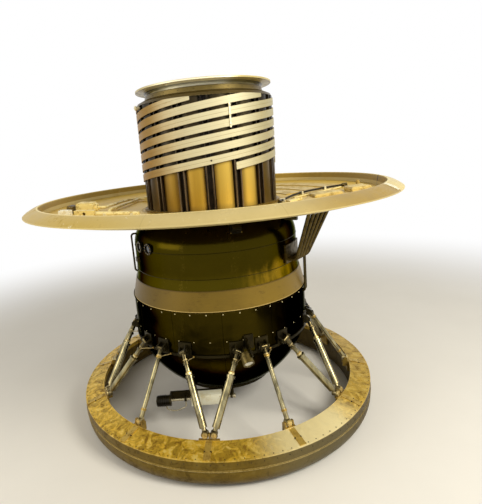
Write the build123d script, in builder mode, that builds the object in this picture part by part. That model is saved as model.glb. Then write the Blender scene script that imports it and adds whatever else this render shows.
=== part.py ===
from build123d import *
from math import asin, cos, degrees, hypot, pi, radians, sin, sqrt, tan
import os

# Planetary lander that stands on a landing ring.
# Frame: +Z up, origin at the centre of the ring's bottom face, -Y is the front.
# An azimuth of 0 degrees looks along -Y, and azimuths grow towards +X. Sizes are in millimetres.

# Clearances
seat_gap = 0.2
pin_play = 0.15

# Landing ring
ring_outer_r = 882.0
ring_width = 111.0
ring_inner_r = ring_outer_r - ring_width
ring_outer_z = 157.0
ring_fall = 24.5
ring_inner_z = ring_outer_z + ring_fall
ring_keel_width = 20.0
ring_keel_inner_r = ring_inner_r + 17.0
ring_keel_outer_r = ring_keel_inner_r + ring_keel_width
ring_bilge_z = 72.0
ring_inner_corner = 18.0
ring_bead_z = 104.0
ring_bead_half = 5.0
ring_bead_proud = 3.0
strap_width = 34.0
strap_t = 3.0
strap_margin = 6.0

# Struts: six twin feet and six single feet alternate round the ring
station_count = 6
twin_az = -8.0
single_az = 22.0
foot_r = ring_inner_r - 25.0
foot_z = ring_inner_z + 17.0
foot_spread = 44.0
foot_eye_r = 18.0
foot_eye_front = 12.0
pin_head_r = 13.0
pin_head_t = 6.0
foot_plate_t = 11.0
foot_plate_low_z = 118.0
foot_plate_high_z = foot_z - pin_head_r - 1.0
foot_ear_low_z = foot_plate_low_z + 34.0
foot_ear_high_z = foot_z + 9.0
foot_ear_t = 7.0
foot_ear_bevel = 12.0
twin_plate_width = 104.0
single_plate_width = 56.0
top_spread_az = 15.0
top_eye_r = 15.0
top_nut_r = 11.0
top_nut_t = 7.0
top_ear_t = 8.0
top_ear_gap = 32.0
damper_tube_r = 19.0
damper_neck_r = 11.0
damper_rod_r = 12.0
damper_tube_start = 27.0
damper_tube_share = 0.70
damper_collar_r = 23.0
damper_collar_t = 12.0
rod_collar_r = 17.0
rod_collar_share = 0.84
brace_r = 12.0

# Body
seam_z = 490.0
seam_flange_t = 14.0
seam_low_z = seam_z - seam_flange_t
belly_r = 521.0
belly_height = 234.0
belly_top_z = seam_z + belly_height
belly_lip_r = belly_r + 4.0
belly_lip_t = 8.0
seam_flange_r = belly_r + 7.0
dome_edge_r = belly_r - 4.0
dome_centre_rise = 148.0
dome_centre_z = seam_low_z + dome_centre_rise
dome_r = hypot(dome_edge_r, dome_centre_rise)
belly_flange_r = belly_r - 229.0
belly_flange_t = 14.0
belly_flange_z = 158.0
hatch_r = belly_flange_r - 42.0
hatch_land_r = hatch_r - 100.0
hatch_depth = 20.0
hatch_land_drop = 15.0
belt_height = 104.0
belt_top_z = belly_top_z + belt_height
belt_top_r = belly_r - 25.0
belt_bore_r = belly_r - 76.0
casing_foot_r = belt_top_r - 3.0
casing_r = belt_top_r - 12.0
casing_flare_z = belt_top_z + 57.0
casing_shoulder_z = belt_top_z + 192.0
casing_top_z = casing_shoulder_z + 150.0
neck_r = casing_r - 95.0
neck_height = 36.0
top_r = belly_r + 25.0
top_z = seam_z + 22.0

# Brake disc
disc_edge_r = 1050.0
rim_run = 73.0
rim_rise = 35.5
rim_bulge = 4.4
crest_r = disc_edge_r - rim_run
crest_land = 6.0
deck_r = crest_r - 16.0
deck_t = 6.0
deck_hub_r = neck_r + 10.0
deck_hub_z = casing_top_z + neck_height + deck_t
deck_fall = 38.0
deck_rim_z = deck_hub_z + deck_fall
disc_edge_z = deck_rim_z + 20.0
disc_lip_t = 5.0
crest_z = disc_edge_z + rim_rise

# Antenna drum
drum_core_r = 362.0
drum_foot_r = drum_core_r + 36.0
drum_foot_t = 10.0
drum_foot_z = deck_hub_z + drum_foot_t
drum_height = 567.0
column_count = 16
column_side_r = drum_core_r + 8.0
column_gap = 51.0
column_width = 2 * pi * column_side_r / column_count - column_gap
column_crown_r = drum_core_r + 19.0
post_offset = 16.0
post_width = 7.0
post_r = drum_core_r + 22.0
strip_top_z = drum_foot_z + drum_height
strip_count = 6
strip_pitch = 54.5
strip_width = 37.5
strip_inner_r = post_r + 0.3
strip_t = 5.0
shoulder_rise = 29.0
shoulder_top_z = strip_top_z + shoulder_rise
shoulder_corner = 7.0
shoulder_corner_rise = 13.0
shoulder_top_r = drum_core_r - 20.0
neck_ring_r = drum_core_r - 30.0
neck_ring_t = 24.0
collar_ring_r = drum_core_r - 61.0
collar_ring_t = 14.0
flange_r = drum_core_r + 20.0
flange_edge_t = 8.0
flange_dish = 8.0
flange_inner_r = collar_ring_r + 3.0
flange_bolt_count = 12
flange_bolt_r = 5.0
flange_bolt_pcd = 2 * flange_r - 46.0

os.makedirs("parts", exist_ok=True)


def polar(r, az, z):
    """Point at a radius, an azimuth in degrees and a height."""
    return Vector(r * sin(radians(az)), -r * cos(radians(az)), z)


def outward(r, az, z):
    """Plane at a point, whose normal points away from the axis, with local Y up."""
    return Plane(origin=polar(r, az, z), x_dir=(cos(radians(az)), sin(radians(az)), 0),
                 z_dir=(sin(radians(az)), -cos(radians(az)), 0))


def sideways(r, az, z):
    """Plane at a point, whose normal runs along the ring, with local X outward and local Y up."""
    return Plane(origin=polar(r, az, z), x_dir=(sin(radians(az)), -cos(radians(az)), 0),
                 z_dir=(-cos(radians(az)), -sin(radians(az)), 0))


def arc_section(az):
    """Upright plane through the axis at an azimuth: local X is the radius, local Y is the height."""
    return sideways(0, az, 0)


def write(part, name):
    """Give the part its name and write it."""
    part.label = name
    export_step(part, f"parts/{name}.step")


def together(*parts):
    """Separate solids that share a node."""
    with BuildPart() as group:
        for part in parts:
            add(part)
    return group.part


def turned(points):
    """Closed sketch profile of radius and height pairs."""
    Polygon(*points, align=None)


def sphere_r(z):
    """Radius of the belly dome at a height."""
    return sqrt(dome_r**2 - (dome_centre_z - z) ** 2)


deck_slope = deck_fall / (deck_r - deck_hub_r)


def deck_z(r):
    """Height of the dished deck's upper face at a radius."""
    return deck_hub_z + (r - deck_hub_r) * deck_slope


def above_deck(x, y, height):
    """Point at a height over the dished deck."""
    return Vector(x, y, deck_z(hypot(x, y)) + height)


def on_deck(az, share, height=0.0):
    """Point over the deck at an azimuth and a share of the way from the hub to the rim."""
    spot = polar(deck_hub_r + share * (deck_r - deck_hub_r), az, 0)
    return above_deck(spot.X, spot.Y, height)


def deck_spot(az, share, width, depth):
    """Plane that leans with the deck and clears it under a footprint, with local X along +X."""
    middle = on_deck(az, share)
    x = middle.X
    y = middle.Y
    r = hypot(x, y)
    normal = Vector(-deck_slope * x / r, -deck_slope * y / r, 1).normalized()
    across = (abs(width * y) + abs(depth * x)) / (2 * r)
    inner = r - (abs(width * x) + abs(depth * y)) / (2 * r)
    lift = seat_gap + deck_slope * across**2 / (2 * inner)
    x_dir = (Vector(1, 0, 0) - normal * normal.X).normalized()
    return Plane(origin=above_deck(x, y, lift), x_dir=x_dir, z_dir=normal)


def deck_seat():
    """Solid that fills the dish up to a small gap over the deck, for cutting the feet of what stands on it."""
    with BuildPart() as seat:
        with BuildSketch(Plane.XZ):
            turned([(0, casing_top_z), (deck_r, casing_top_z), (deck_r, deck_rim_z + seat_gap),
                    (deck_hub_r, deck_hub_z + seat_gap), (0, deck_hub_z + seat_gap)])
        revolve(axis=Axis.Z)
    return seat.part


def bend_radii(points):
    """Largest tangent arcs that the runs of a bent tube leave room for."""
    radii = []
    for before, corner, after in zip(points, points[1:], points[2:]):
        run_in = corner - before
        run_out = after - corner
        turn = radians(run_in.get_angle(run_out))
        radii.append(0.45 * min(run_in.length, run_out.length) / tan(turn / 2))
    return radii


def bent_tube(points, radius):
    """Tube along straight runs joined by tangent arcs."""
    with BuildPart() as tube:
        with BuildLine():
            FilletPolyline(*points, radius=bend_radii(points))
        with BuildSketch(Plane(origin=points[0], z_dir=points[1] - points[0])):
            Circle(radius)
        sweep()
    return tube.part


foot_half_az = degrees(foot_spread / 2 / foot_r)

# Legs of the first station: each row holds the foot's azimuth and the top's azimuth
twin_legs = [
    (twin_az - foot_half_az, twin_az - top_spread_az),
    (twin_az + foot_half_az, twin_az + top_spread_az),
]
single_legs = [(single_az, single_az)]
all_legs = twin_legs + single_legs


def at_stations(part):
    """Copies of a part at all stations round the axis."""
    with BuildPart() as copies:
        with PolarLocations(0, station_count):
            add(part)
    return copies.part


def leg_ends(leg):
    """Foot point, top point and the unit vector between them."""
    foot_az, head_az = leg
    foot = polar(foot_r, foot_az, foot_z)
    head = polar(top_r, head_az, top_z)
    return foot, head, (head - foot).normalized()


def leg_length(leg):
    """Distance from a leg's foot point to its top point."""
    foot, head, along = leg_ends(leg)
    return (head - foot).length


# Landing ring
with BuildPart() as landing_ring:
    with BuildSketch(Plane.XZ):
        with BuildLine():
            Polyline((ring_keel_inner_r, 0), (ring_keel_outer_r, 0))
            TangentArc((ring_outer_r, ring_bilge_z), (ring_keel_outer_r, 0), tangent=(0, -1),
                       tangent_from_first=True)
            Polyline((ring_outer_r, ring_bilge_z), (ring_outer_r, ring_outer_z), (ring_inner_r, ring_inner_z),
                     (ring_inner_r, ring_inner_corner))
            Line((ring_inner_r, ring_inner_corner), (ring_keel_inner_r, 0))
        make_face()
        turned([(ring_outer_r - ring_bead_half, ring_bead_z - ring_bead_half),
                (ring_outer_r, ring_bead_z - ring_bead_half),
                (ring_outer_r + ring_bead_proud, ring_bead_z), (ring_outer_r, ring_bead_z + ring_bead_half),
                (ring_outer_r - ring_bead_half, ring_bead_z + ring_bead_half)])
    revolve(axis=Axis.Z)
write(landing_ring.part, "landing_ring")

# Seam straps on the ring's top at every foot
ring_slope = (ring_inner_z - ring_outer_z) / (ring_outer_r - ring_inner_r)
strap_az = degrees(strap_width / ring_outer_r)
strap_inner_r = ring_inner_r + strap_margin
strap_outer_r = ring_outer_r - strap_margin


def ring_top_z(r):
    """Height of the ring's sloping top at a radius."""
    return ring_inner_z - (r - ring_inner_r) * ring_slope


with BuildPart() as ring_straps:
    for foot_az in (twin_az, single_az):
        with BuildSketch(arc_section(foot_az - strap_az / 2)):
            turned([(strap_inner_r, ring_top_z(strap_inner_r)), (strap_outer_r, ring_top_z(strap_outer_r)),
                    (strap_outer_r, ring_top_z(strap_outer_r) + strap_t),
                    (strap_inner_r, ring_top_z(strap_inner_r) + strap_t)])
        revolve(axis=Axis.Z, revolution_arc=strap_az)
write(at_stations(ring_straps.part), "ring_straps")


foot_plate_r = ring_inner_r - seat_gap
foot_eye_back_r = foot_plate_r - foot_plate_t - seat_gap * 2


def foot_plate(az, width, ear_offsets):
    """Plate on the ring's inner wall with the ears that hold the eyes of one foot."""
    arc = degrees(width / foot_plate_r)
    ear_front_r = foot_r - foot_eye_front
    ear_back_r = foot_plate_r - foot_plate_t / 2
    with BuildPart() as plate:
        with BuildSketch(arc_section(az - arc / 2)):
            turned([(foot_plate_r - foot_plate_t, foot_plate_low_z), (foot_plate_r, foot_plate_low_z),
                    (foot_plate_r, foot_plate_high_z), (foot_plate_r - foot_plate_t, foot_plate_high_z)])
        revolve(axis=Axis.Z, revolution_arc=arc)
        for offset in ear_offsets:
            with BuildSketch(arc_section(az).offset(offset - foot_ear_t / 2)):
                turned([(ear_front_r, foot_ear_low_z), (ear_back_r, foot_ear_low_z),
                        (ear_back_r, foot_plate_high_z - 1), (foot_eye_back_r, foot_ear_high_z),
                        (ear_front_r + foot_ear_bevel, foot_ear_high_z),
                        (ear_front_r, foot_ear_high_z - foot_ear_bevel)])
            extrude(amount=foot_ear_t)
    return plate.part


single_ear_offset = foot_eye_r + seat_gap + foot_ear_t / 2
write(at_stations(foot_plate(twin_az, twin_plate_width, [0])), "twin_foot_brackets")
write(at_stations(foot_plate(single_az, single_plate_width, [-single_ear_offset, single_ear_offset])),
      "single_foot_brackets")


def leg_piece(leg, start, length, radius):
    """Round stretch of a leg from a distance along it."""
    foot, head, along = leg_ends(leg)
    with BuildPart() as piece:
        with BuildSketch(Plane(origin=foot + along * start, z_dir=along)):
            Circle(radius)
        extrude(amount=length)
    return piece.part


# Round heads of the foot pins, on the outer faces of the eyes above the ring's edge
with BuildPart() as foot_pins:
    for leg in all_legs:
        with BuildSketch(outward(foot_eye_back_r, leg[0], foot_z)):
            Circle(pin_head_r)
        extrude(amount=pin_head_t)
write(at_stations(foot_pins.part), "foot_pins")


def foot_eye(leg):
    """Eye at the foot of a leg, flat against its bracket."""
    with BuildPart() as eye:
        with BuildSketch(outward(foot_r - foot_eye_front, leg[0], foot_z)):
            Circle(foot_eye_r)
        extrude(amount=foot_eye_back_r - foot_r + foot_eye_front)
    return eye.part


# Damper legs: the thick lower tubes with their eyes and end collars
with BuildPart() as damper_tubes:
    for leg in twin_legs:
        tube_end = leg_length(leg) * damper_tube_share
        add(foot_eye(leg))
        add(leg_piece(leg, 0, damper_tube_start, damper_neck_r))
        add(leg_piece(leg, damper_tube_start, tube_end - damper_tube_start, damper_tube_r))
        add(leg_piece(leg, tube_end - damper_collar_t, damper_collar_t, damper_collar_r))
write(at_stations(damper_tubes.part), "damper_tubes")


def clevis_plane(leg):
    """Plane at a strut's top: local X points outward, the normal is the pin's axis."""
    foot, head, along = leg_ends(leg)
    out = polar(1, leg[1], 0)
    return Plane(origin=head, x_dir=out, z_dir=out.cross(along))


# Damper rods with their collars and top eyes
with BuildPart() as damper_rods:
    for leg in twin_legs:
        length = leg_length(leg)
        add(leg_piece(leg, length * damper_tube_share, length * (1 - damper_tube_share), damper_rod_r))
        add(leg_piece(leg, length * rod_collar_share, damper_collar_t, rod_collar_r))
        with Locations(clevis_plane(leg)):
            Cylinder(top_eye_r, top_ear_gap - seat_gap * 2)
write(at_stations(damper_rods.part), "damper_rods")

# Plain braces between the damper pairs
with BuildPart() as brace_struts:
    for leg in single_legs:
        add(foot_eye(leg))
        add(leg_piece(leg, 0, leg_length(leg), brace_r))
        with Locations(clevis_plane(leg)):
            Cylinder(top_eye_r, top_ear_gap - seat_gap * 2)
write(at_stations(brace_struts.part), "brace_struts")

# Brackets on the belly drum that hold the strut tops between two ears
bracket_r = belly_r + seat_gap
bracket_plate_t = 7.0
bracket_low_z = seam_z + seat_gap
bracket_high_z = seam_z + 68.0
bracket_half_width = 36.0
ear_inner_r = seam_flange_r + seat_gap
ear_seat_x = bracket_r + bracket_plate_t / 2 - top_r
ear_tip_x = 15.0
ear_profile = [(ear_seat_x, -20), (2, -15), (ear_tip_x, -8), (ear_tip_x, 8), (2, 17), (ear_seat_x, 30)]
with BuildPart() as top_brackets:
    for leg in all_legs:
        half_az = degrees(bracket_half_width / bracket_r)
        with BuildSketch(arc_section(leg[1] - half_az)):
            turned([(bracket_r, bracket_low_z), (bracket_r + bracket_plate_t, bracket_low_z),
                    (bracket_r + bracket_plate_t, bracket_high_z), (bracket_r, bracket_high_z)])
        revolve(axis=Axis.Z, revolution_arc=half_az * 2)
        for side in (-1, 1):
            middle = side * (top_ear_gap + top_ear_t) / 2
            with BuildSketch(clevis_plane(leg).offset(middle - top_ear_t / 2)):
                turned(ear_profile)
            extrude(amount=top_ear_t)
    with Locations((0, 0, (seam_z + seam_low_z) / 2)):
        Cylinder(ear_inner_r, seam_flange_t + seat_gap * 2, mode=Mode.SUBTRACT)
write(at_stations(top_brackets.part), "top_brackets")

# Hexagonal heads and nuts of the pins, on the outer faces of the ears
with BuildPart() as top_pins:
    for leg in all_legs:
        for side in (-1, 1):
            with BuildSketch(clevis_plane(leg).offset(side * (top_ear_gap / 2 + top_ear_t))):
                RegularPolygon(top_nut_r, side_count=6)
            extrude(amount=side * top_nut_t)
write(at_stations(top_pins.part), "top_pins")

# Belly: dome, bottom flange, hatch and seam flange
dome_bottom_z = belly_flange_z + belly_flange_t
dome_middle = radians(-35)
with BuildPart() as belly_dome:
    with BuildSketch(Plane.XZ):
        with BuildLine():
            Polyline((0, dome_bottom_z), (sphere_r(dome_bottom_z), dome_bottom_z))
            ThreePointArc((sphere_r(dome_bottom_z), dome_bottom_z),
                          (dome_r * cos(dome_middle), dome_centre_z + dome_r * sin(dome_middle)),
                          (sphere_r(seam_low_z), seam_low_z))
            Polyline((sphere_r(seam_low_z), seam_low_z), (0, seam_low_z), (0, dome_bottom_z))
        make_face()
    revolve(axis=Axis.Z)
write(belly_dome.part, "belly_dome")

with BuildPart() as belly_flange:
    with BuildSketch(Plane.XY.offset(belly_flange_z)):
        Circle(belly_flange_r)
    extrude(amount=belly_flange_t)
write(belly_flange.part, "belly_flange")

with BuildPart() as belly_hatch:
    with BuildSketch(Plane.XZ):
        turned([(0, belly_flange_z - hatch_depth), (hatch_land_r, belly_flange_z - hatch_land_drop),
                (hatch_r, belly_flange_z), (0, belly_flange_z)])
    revolve(axis=Axis.Z)
write(belly_hatch.part, "belly_hatch")

with BuildPart() as seam_flange:
    with BuildSketch(Plane.XY.offset(seam_low_z)):
        Circle(seam_flange_r)
    extrude(amount=seam_flange_t)
write(seam_flange.part, "seam_flange")

# Belly drum with its upper lip
with BuildPart() as belly_drum:
    with BuildSketch(Plane.XZ):
        turned([(0, seam_z), (belly_r, seam_z), (belly_r, belly_top_z - belly_lip_t),
                (belly_lip_r, belly_top_z - belly_lip_t), (belly_lip_r, belly_top_z), (0, belly_top_z)])
    revolve(axis=Axis.Z)
write(belly_drum.part, "belly_drum")

# Conical belt between the belly drum and the casing
with BuildPart() as belt_band:
    with BuildSketch(Plane.XZ):
        turned([(belt_bore_r + seat_gap, belly_top_z), (belly_r, belly_top_z), (belt_top_r, belt_top_z),
                (belt_bore_r + seat_gap, belt_top_z)])
    revolve(axis=Axis.Z)
write(belt_band.part, "belt_band")

# Sensor bar under the belly: frame, turning shaft and head, fixed drive
shaft_r = 7.0
shaft_left_x = -326.0
shaft_right_x = 42.0
shaft_collar_r = 12.0
shaft_collar_t = 12.0
rail_t = 12.0
rail_half_height = 22.0
rail_left_x = -330.0
rail_right_x = 34.0
bar_ear_t = 12.0
bar_ear_x = (-240.0, 18.0)
bar_ear_reach = 13.0
drive_plate_t = 9.0
drive_plate_half = 31.0
drive_r = 30.0
drive_length = 72.0
drive_chamfer = 5.0
arm_width = 30.0
arm_t = 10.0
arm_table = [(-200.0, 102.0 - belly_flange_r), (4.0, 32.0 - belly_flange_r)]
head_middle_x = -120.0
head_length = 172.0
head_depth = 56.0
head_height = 60.0
head_corner = 4.0
head_clearance = 26.0
shaft_z = belly_flange_z + 12.0
shaft_y = -(sphere_r(shaft_z + head_height / 2) + head_clearance + head_depth / 2)
rail_front_y = shaft_y + 45.0


def along_x(x):
    """Plane across the sensor bar's shaft: the normal is +X, local X is +Y and local Y is +Z."""
    return Plane(origin=(x, shaft_y, shaft_z), x_dir=(0, 1, 0), z_dir=(1, 0, 0))


rail_middle_y = rail_front_y + rail_t / 2
with BuildPart() as sensor_frame:
    with BuildSketch(Plane(origin=(rail_left_x, rail_middle_y, shaft_z), x_dir=(0, 1, 0), z_dir=(1, 0, 0))):
        Rectangle(rail_t, rail_half_height * 2)
    extrude(amount=rail_right_x - rail_left_x)
    for x in bar_ear_x:
        with BuildSketch(along_x(x - bar_ear_t / 2)):
            Circle(bar_ear_reach)
            with Locations(((rail_front_y - shaft_y) / 2, 0)):
                Rectangle(rail_front_y - shaft_y, bar_ear_reach * 1.6)
        extrude(amount=bar_ear_t)
    with BuildSketch(along_x(rail_left_x)):
        Circle(drive_plate_half)
        with Locations(((rail_front_y - shaft_y) / 2, 0)):
            Rectangle(rail_front_y - shaft_y, rail_half_height * 2)
    extrude(amount=drive_plate_t)
    for arm_x, arm_end_y in arm_table:
        with BuildSketch(Plane.XY.offset(belly_flange_z)):
            with Locations((arm_x, (rail_front_y + arm_end_y) / 2)):
                Rectangle(arm_width, arm_end_y - rail_front_y)
        extrude(amount=-arm_t)
    with BuildSketch(along_x(rail_left_x - 1)):
        Circle(shaft_r + pin_play)
    extrude(amount=rail_right_x - rail_left_x + 2, mode=Mode.SUBTRACT)
write(sensor_frame.part, "sensor_frame")

with BuildPart() as sensor_drive:
    with BuildSketch(along_x(rail_left_x - drive_length)):
        Circle(drive_r)
    extrude(amount=drive_length)
    chamfer(sensor_drive.edges().group_by(Axis.X)[0], length=drive_chamfer)
write(sensor_drive.part, "sensor_drive")

with BuildPart() as sensor_shaft:
    with BuildSketch(along_x(shaft_left_x)):
        Circle(shaft_r)
    extrude(amount=shaft_right_x - shaft_left_x)
    with BuildSketch(along_x(shaft_right_x - shaft_collar_t)):
        Circle(shaft_collar_r)
    extrude(amount=shaft_collar_t)
write(sensor_shaft.part, "sensor_shaft")

with BuildPart() as sensor_head:
    with BuildSketch(along_x(head_middle_x - head_length / 2)):
        RectangleRounded(head_depth, head_height, head_corner)
        Circle(shaft_r + seat_gap, mode=Mode.SUBTRACT)
    extrude(amount=head_length)
write(sensor_head.part, "sensor_head")

# Thin lead from the drive to the bar's left ear
lead_r = 3.0
lead_low_z = shaft_z - 70.0
lead_route = [(-350.0, shaft_z - drive_r - seat_gap * 2), (-350.0, lead_low_z + 16.0), (-302.0, lead_low_z),
              (-240.0, lead_low_z + 22.0), (-240.0, shaft_z - bar_ear_reach - seat_gap * 3)]
lead_points = [Vector(x, shaft_y, z) for x, z in lead_route]
write(bent_tube(lead_points, lead_r), "sensor_lead")
print("sensor_lead bend radii", [round(radius, 1) for radius in bend_radii(lead_points)])


# Upper casing with its round shoulder
def casing_body(gap):
    """Solid of the casing, grown outward by a gap."""
    with BuildPart() as body:
        with BuildSketch(Plane.XZ):
            with BuildLine():
                Polyline((0, casing_top_z + gap), (0, belly_top_z), (belt_bore_r, belly_top_z),
                         (belt_bore_r, belt_top_z), (casing_foot_r + gap, belt_top_z),
                         (casing_r + gap, casing_flare_z), (casing_r + gap, casing_shoulder_z))
                TangentArc((casing_r + gap, casing_shoulder_z), (neck_r + gap, casing_top_z + gap), tangent=(0, 1))
                Line((neck_r + gap, casing_top_z + gap), (0, casing_top_z + gap))
            make_face()
        revolve(axis=Axis.Z)
    return body.part


write(casing_body(0), "upper_casing")
casing_seat = casing_body(seat_gap)

port_azimuths = (-59.5, -48.0)
port_z = casing_shoulder_z + 15.0
port_r = 31.0
port_glass_r = 21.0
port_depth = 50.0
port_proud = 9.0
port_glass_sink = 9.0
port_face_r = casing_r + port_proud
with BuildPart() as port_bezels:
    for az in port_azimuths:
        with BuildSketch(outward(port_face_r - port_depth, az, port_z)):
            Circle(port_r)
        extrude(amount=port_depth)
    add(casing_seat, mode=Mode.SUBTRACT)
    for az in port_azimuths:
        with BuildSketch(outward(port_face_r, az, port_z)):
            Circle(port_glass_r)
        extrude(amount=-port_glass_sink, mode=Mode.SUBTRACT)
write(port_bezels.part, "port_bezels")

port_glass_t = 4.0
with BuildPart() as port_glasses:
    for az in port_azimuths:
        with BuildSketch(outward(port_face_r - port_glass_sink, az, port_z)):
            Circle(port_glass_r - seat_gap)
        extrude(amount=port_glass_t)
write(port_glasses.part, "port_glasses")

# Neck that carries the brake disc
with BuildPart() as disc_neck:
    with BuildSketch(Plane.XY.offset(casing_top_z)):
        Circle(neck_r)
    extrude(amount=deck_hub_z - deck_t - casing_top_z)
write(disc_neck.part, "disc_neck")

# Brake disc: the dished deck and its sharp-edged rim
with BuildPart() as disc_deck:
    with BuildSketch(Plane.XZ):
        turned([(0, deck_hub_z - deck_t), (deck_hub_r, deck_hub_z - deck_t), (deck_r, deck_rim_z - deck_t),
                (deck_r, deck_rim_z), (deck_hub_r, deck_hub_z), (0, deck_hub_z)])
    revolve(axis=Axis.Z)
write(disc_deck.part, "disc_deck")

rim_slant = hypot(rim_run, rim_rise)


def rim_point(share, lift):
    """Point over the rim's bulged outer face, from its edge at 0 to its crest at 1."""
    bulge = 4 * rim_bulge * share * (1 - share) + lift
    return (disc_edge_r - rim_run * share + bulge * rim_rise / rim_slant,
            disc_edge_z + rim_rise * share + bulge * rim_run / rim_slant)


with BuildPart() as disc_rim:
    with BuildSketch(Plane.XZ):
        with BuildLine():
            Polyline((crest_r, crest_z), (crest_r - crest_land, crest_z), (deck_r + seat_gap, deck_rim_z),
                     (deck_r + seat_gap, deck_rim_z - deck_t), (disc_edge_r, disc_edge_z - disc_lip_t),
                     (disc_edge_r, disc_edge_z))
            ThreePointArc(rim_point(0, 0), rim_point(0.5, 0), rim_point(1, 0))
        make_face()
    revolve(axis=Axis.Z)
write(disc_rim.part, "disc_rim")

# Plate over the joint in the rim
joint_az = 55.0
joint_width = 46.0
joint_t = 2.5
joint_low = 0.12
joint_high = 0.94
joint_arc = degrees(joint_width / disc_edge_r)
joint_middle = (joint_low + joint_high) / 2
with BuildPart() as rim_joint_plate:
    with BuildSketch(arc_section(joint_az - joint_arc / 2)):
        with BuildLine():
            ThreePointArc(rim_point(joint_low, seat_gap), rim_point(joint_middle, seat_gap),
                          rim_point(joint_high, seat_gap))
            Line(rim_point(joint_high, seat_gap), rim_point(joint_high, joint_t))
            ThreePointArc(rim_point(joint_high, joint_t), rim_point(joint_middle, joint_t),
                          rim_point(joint_low, joint_t))
            Line(rim_point(joint_low, joint_t), rim_point(joint_low, seat_gap))
        make_face()
    revolve(axis=Axis.Z, revolution_arc=joint_arc)
write(rim_joint_plate.part, "rim_joint_plate")

# Lamp on a gusset under the belly drum's front
lamp_mid = polar(belly_r + 85.0, 10.5, seam_z)
lamp_aim_az = 16.0
lamp_fall = radians(35)
lamp_dir = polar(cos(lamp_fall), lamp_aim_az, -sin(lamp_fall))
lamp_outer_r = 29.0
lamp_back = -22.0
lamp_front = 24.0
lamp_core_r = 18.0
lamp_fin_t = 3.0
lamp_fin_count = 2
lamp_fin_step = 6.0
lamp_lens_r = 24.0
lamp_lens_sink = 9.0
lamp_lens_t = 4.0


def lamp_plane(offset):
    """Plane across the lamp's axis."""
    return Plane(origin=lamp_mid + lamp_dir * offset, z_dir=lamp_dir)


with BuildPart() as lamp_housing:
    with BuildSketch(lamp_plane(lamp_back)):
        Circle(lamp_outer_r)
    extrude(amount=lamp_front - lamp_back)
    with BuildSketch(lamp_plane(lamp_back)):
        Circle(lamp_core_r)
    extrude(amount=-lamp_fin_step * lamp_fin_count)
    for n in range(1, lamp_fin_count + 1):
        with BuildSketch(lamp_plane(lamp_back - lamp_fin_step * n)):
            Circle(lamp_outer_r - lamp_fin_t)
        extrude(amount=lamp_fin_t)
    with BuildSketch(lamp_plane(lamp_front)):
        Circle(lamp_lens_r + seat_gap)
    extrude(amount=-lamp_lens_sink, mode=Mode.SUBTRACT)
write(lamp_housing.part, "lamp_housing")

with BuildPart() as lamp_lens:
    with BuildSketch(lamp_plane(lamp_front - lamp_lens_sink)):
        Circle(lamp_lens_r)
    extrude(amount=lamp_lens_t)
write(lamp_lens.part, "lamp_lens")

lamp_plate_az = 14.2
lamp_plate_half = 25.0
lamp_plate_low_z = seam_z + 20.0
lamp_plate_high_z = seam_z + 95.0
lamp_gusset_az = 12.6
lamp_gusset_t = 9.0
lamp_gusset_r = bracket_r + bracket_plate_t / 2
lamp_gusset = [(lamp_gusset_r, seam_z + 30.0), (lamp_gusset_r, seam_z + 85.0), (belly_r + 40.0, seam_z + 76.0),
               (belly_r + 107.0, seam_z + 30.0), (belly_r + 83.0, seam_z - 2.0), (belly_r + 40.0, seam_z + 20.0)]
with BuildPart() as lamp_bracket:
    half_az = degrees(lamp_plate_half / bracket_r)
    with BuildSketch(arc_section(lamp_plate_az - half_az)):
        turned([(bracket_r, lamp_plate_low_z), (bracket_r + bracket_plate_t, lamp_plate_low_z),
                (bracket_r + bracket_plate_t, lamp_plate_high_z), (bracket_r, lamp_plate_high_z)])
    revolve(axis=Axis.Z, revolution_arc=half_az * 2)
    with BuildSketch(arc_section(lamp_gusset_az).offset(-lamp_gusset_t / 2)):
        turned(lamp_gusset)
    extrude(amount=lamp_gusset_t)
    with BuildSketch(lamp_plane(lamp_front + seat_gap)):
        Circle(lamp_outer_r + seat_gap)
    extrude(amount=lamp_back - lamp_front - lamp_fin_step * lamp_fin_count - seat_gap * 2, mode=Mode.SUBTRACT)
write(lamp_bracket.part, "lamp_bracket")

# Duct bundle from under the deck into a pad on the casing
pad_low_az = 49.0
pad_high_az = 73.0
pad_low_z = casing_flare_z + 7.0
pad_high_z = casing_flare_z + 107.0
pad_t = 10.0
duct_r = 10.0
duct_foot_z = pad_low_z + 20.0
# Rows: azimuth, top radius, elbow radius
duct_rows = [
    (52.0, 643.0, 541.0),
    (55.0, 657.0, 543.0),
    (58.0, 673.0, 546.0),
    (61.0, 691.0, 551.0),
    (64.0, 711.0, 557.0),
]
pad_r = casing_r + seat_gap
pad_face_r = pad_r + pad_t
with BuildPart() as duct_flange:
    with BuildSketch(arc_section(pad_low_az)):
        turned([(pad_r, pad_low_z), (pad_face_r, pad_low_z), (pad_face_r, pad_high_z), (pad_r, pad_high_z)])
    revolve(axis=Axis.Z, revolution_arc=pad_high_az - pad_low_az)
write(duct_flange.part, "duct_flange")


def duct(az, duct_top_r, elbow_r):
    """One duct in its upright plane, cut off level under the deck."""
    top = polar(duct_top_r, az, deck_z(duct_top_r))
    elbow = polar(elbow_r, az, duct_foot_z)
    foot = polar(pad_face_r + seat_gap, az, duct_foot_z)
    with BuildPart() as piece:
        add(bent_tube([foot, elbow, top], duct_r))
        split(bisect_by=Plane.XY.offset(deck_z(duct_top_r - duct_r * 2) - deck_t - seat_gap), keep=Keep.BOTTOM)
    return piece.part


with BuildPart() as duct_bundle:
    for row in duct_rows:
        add(duct(*row))
write(duct_bundle.part, "duct_bundle")

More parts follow.
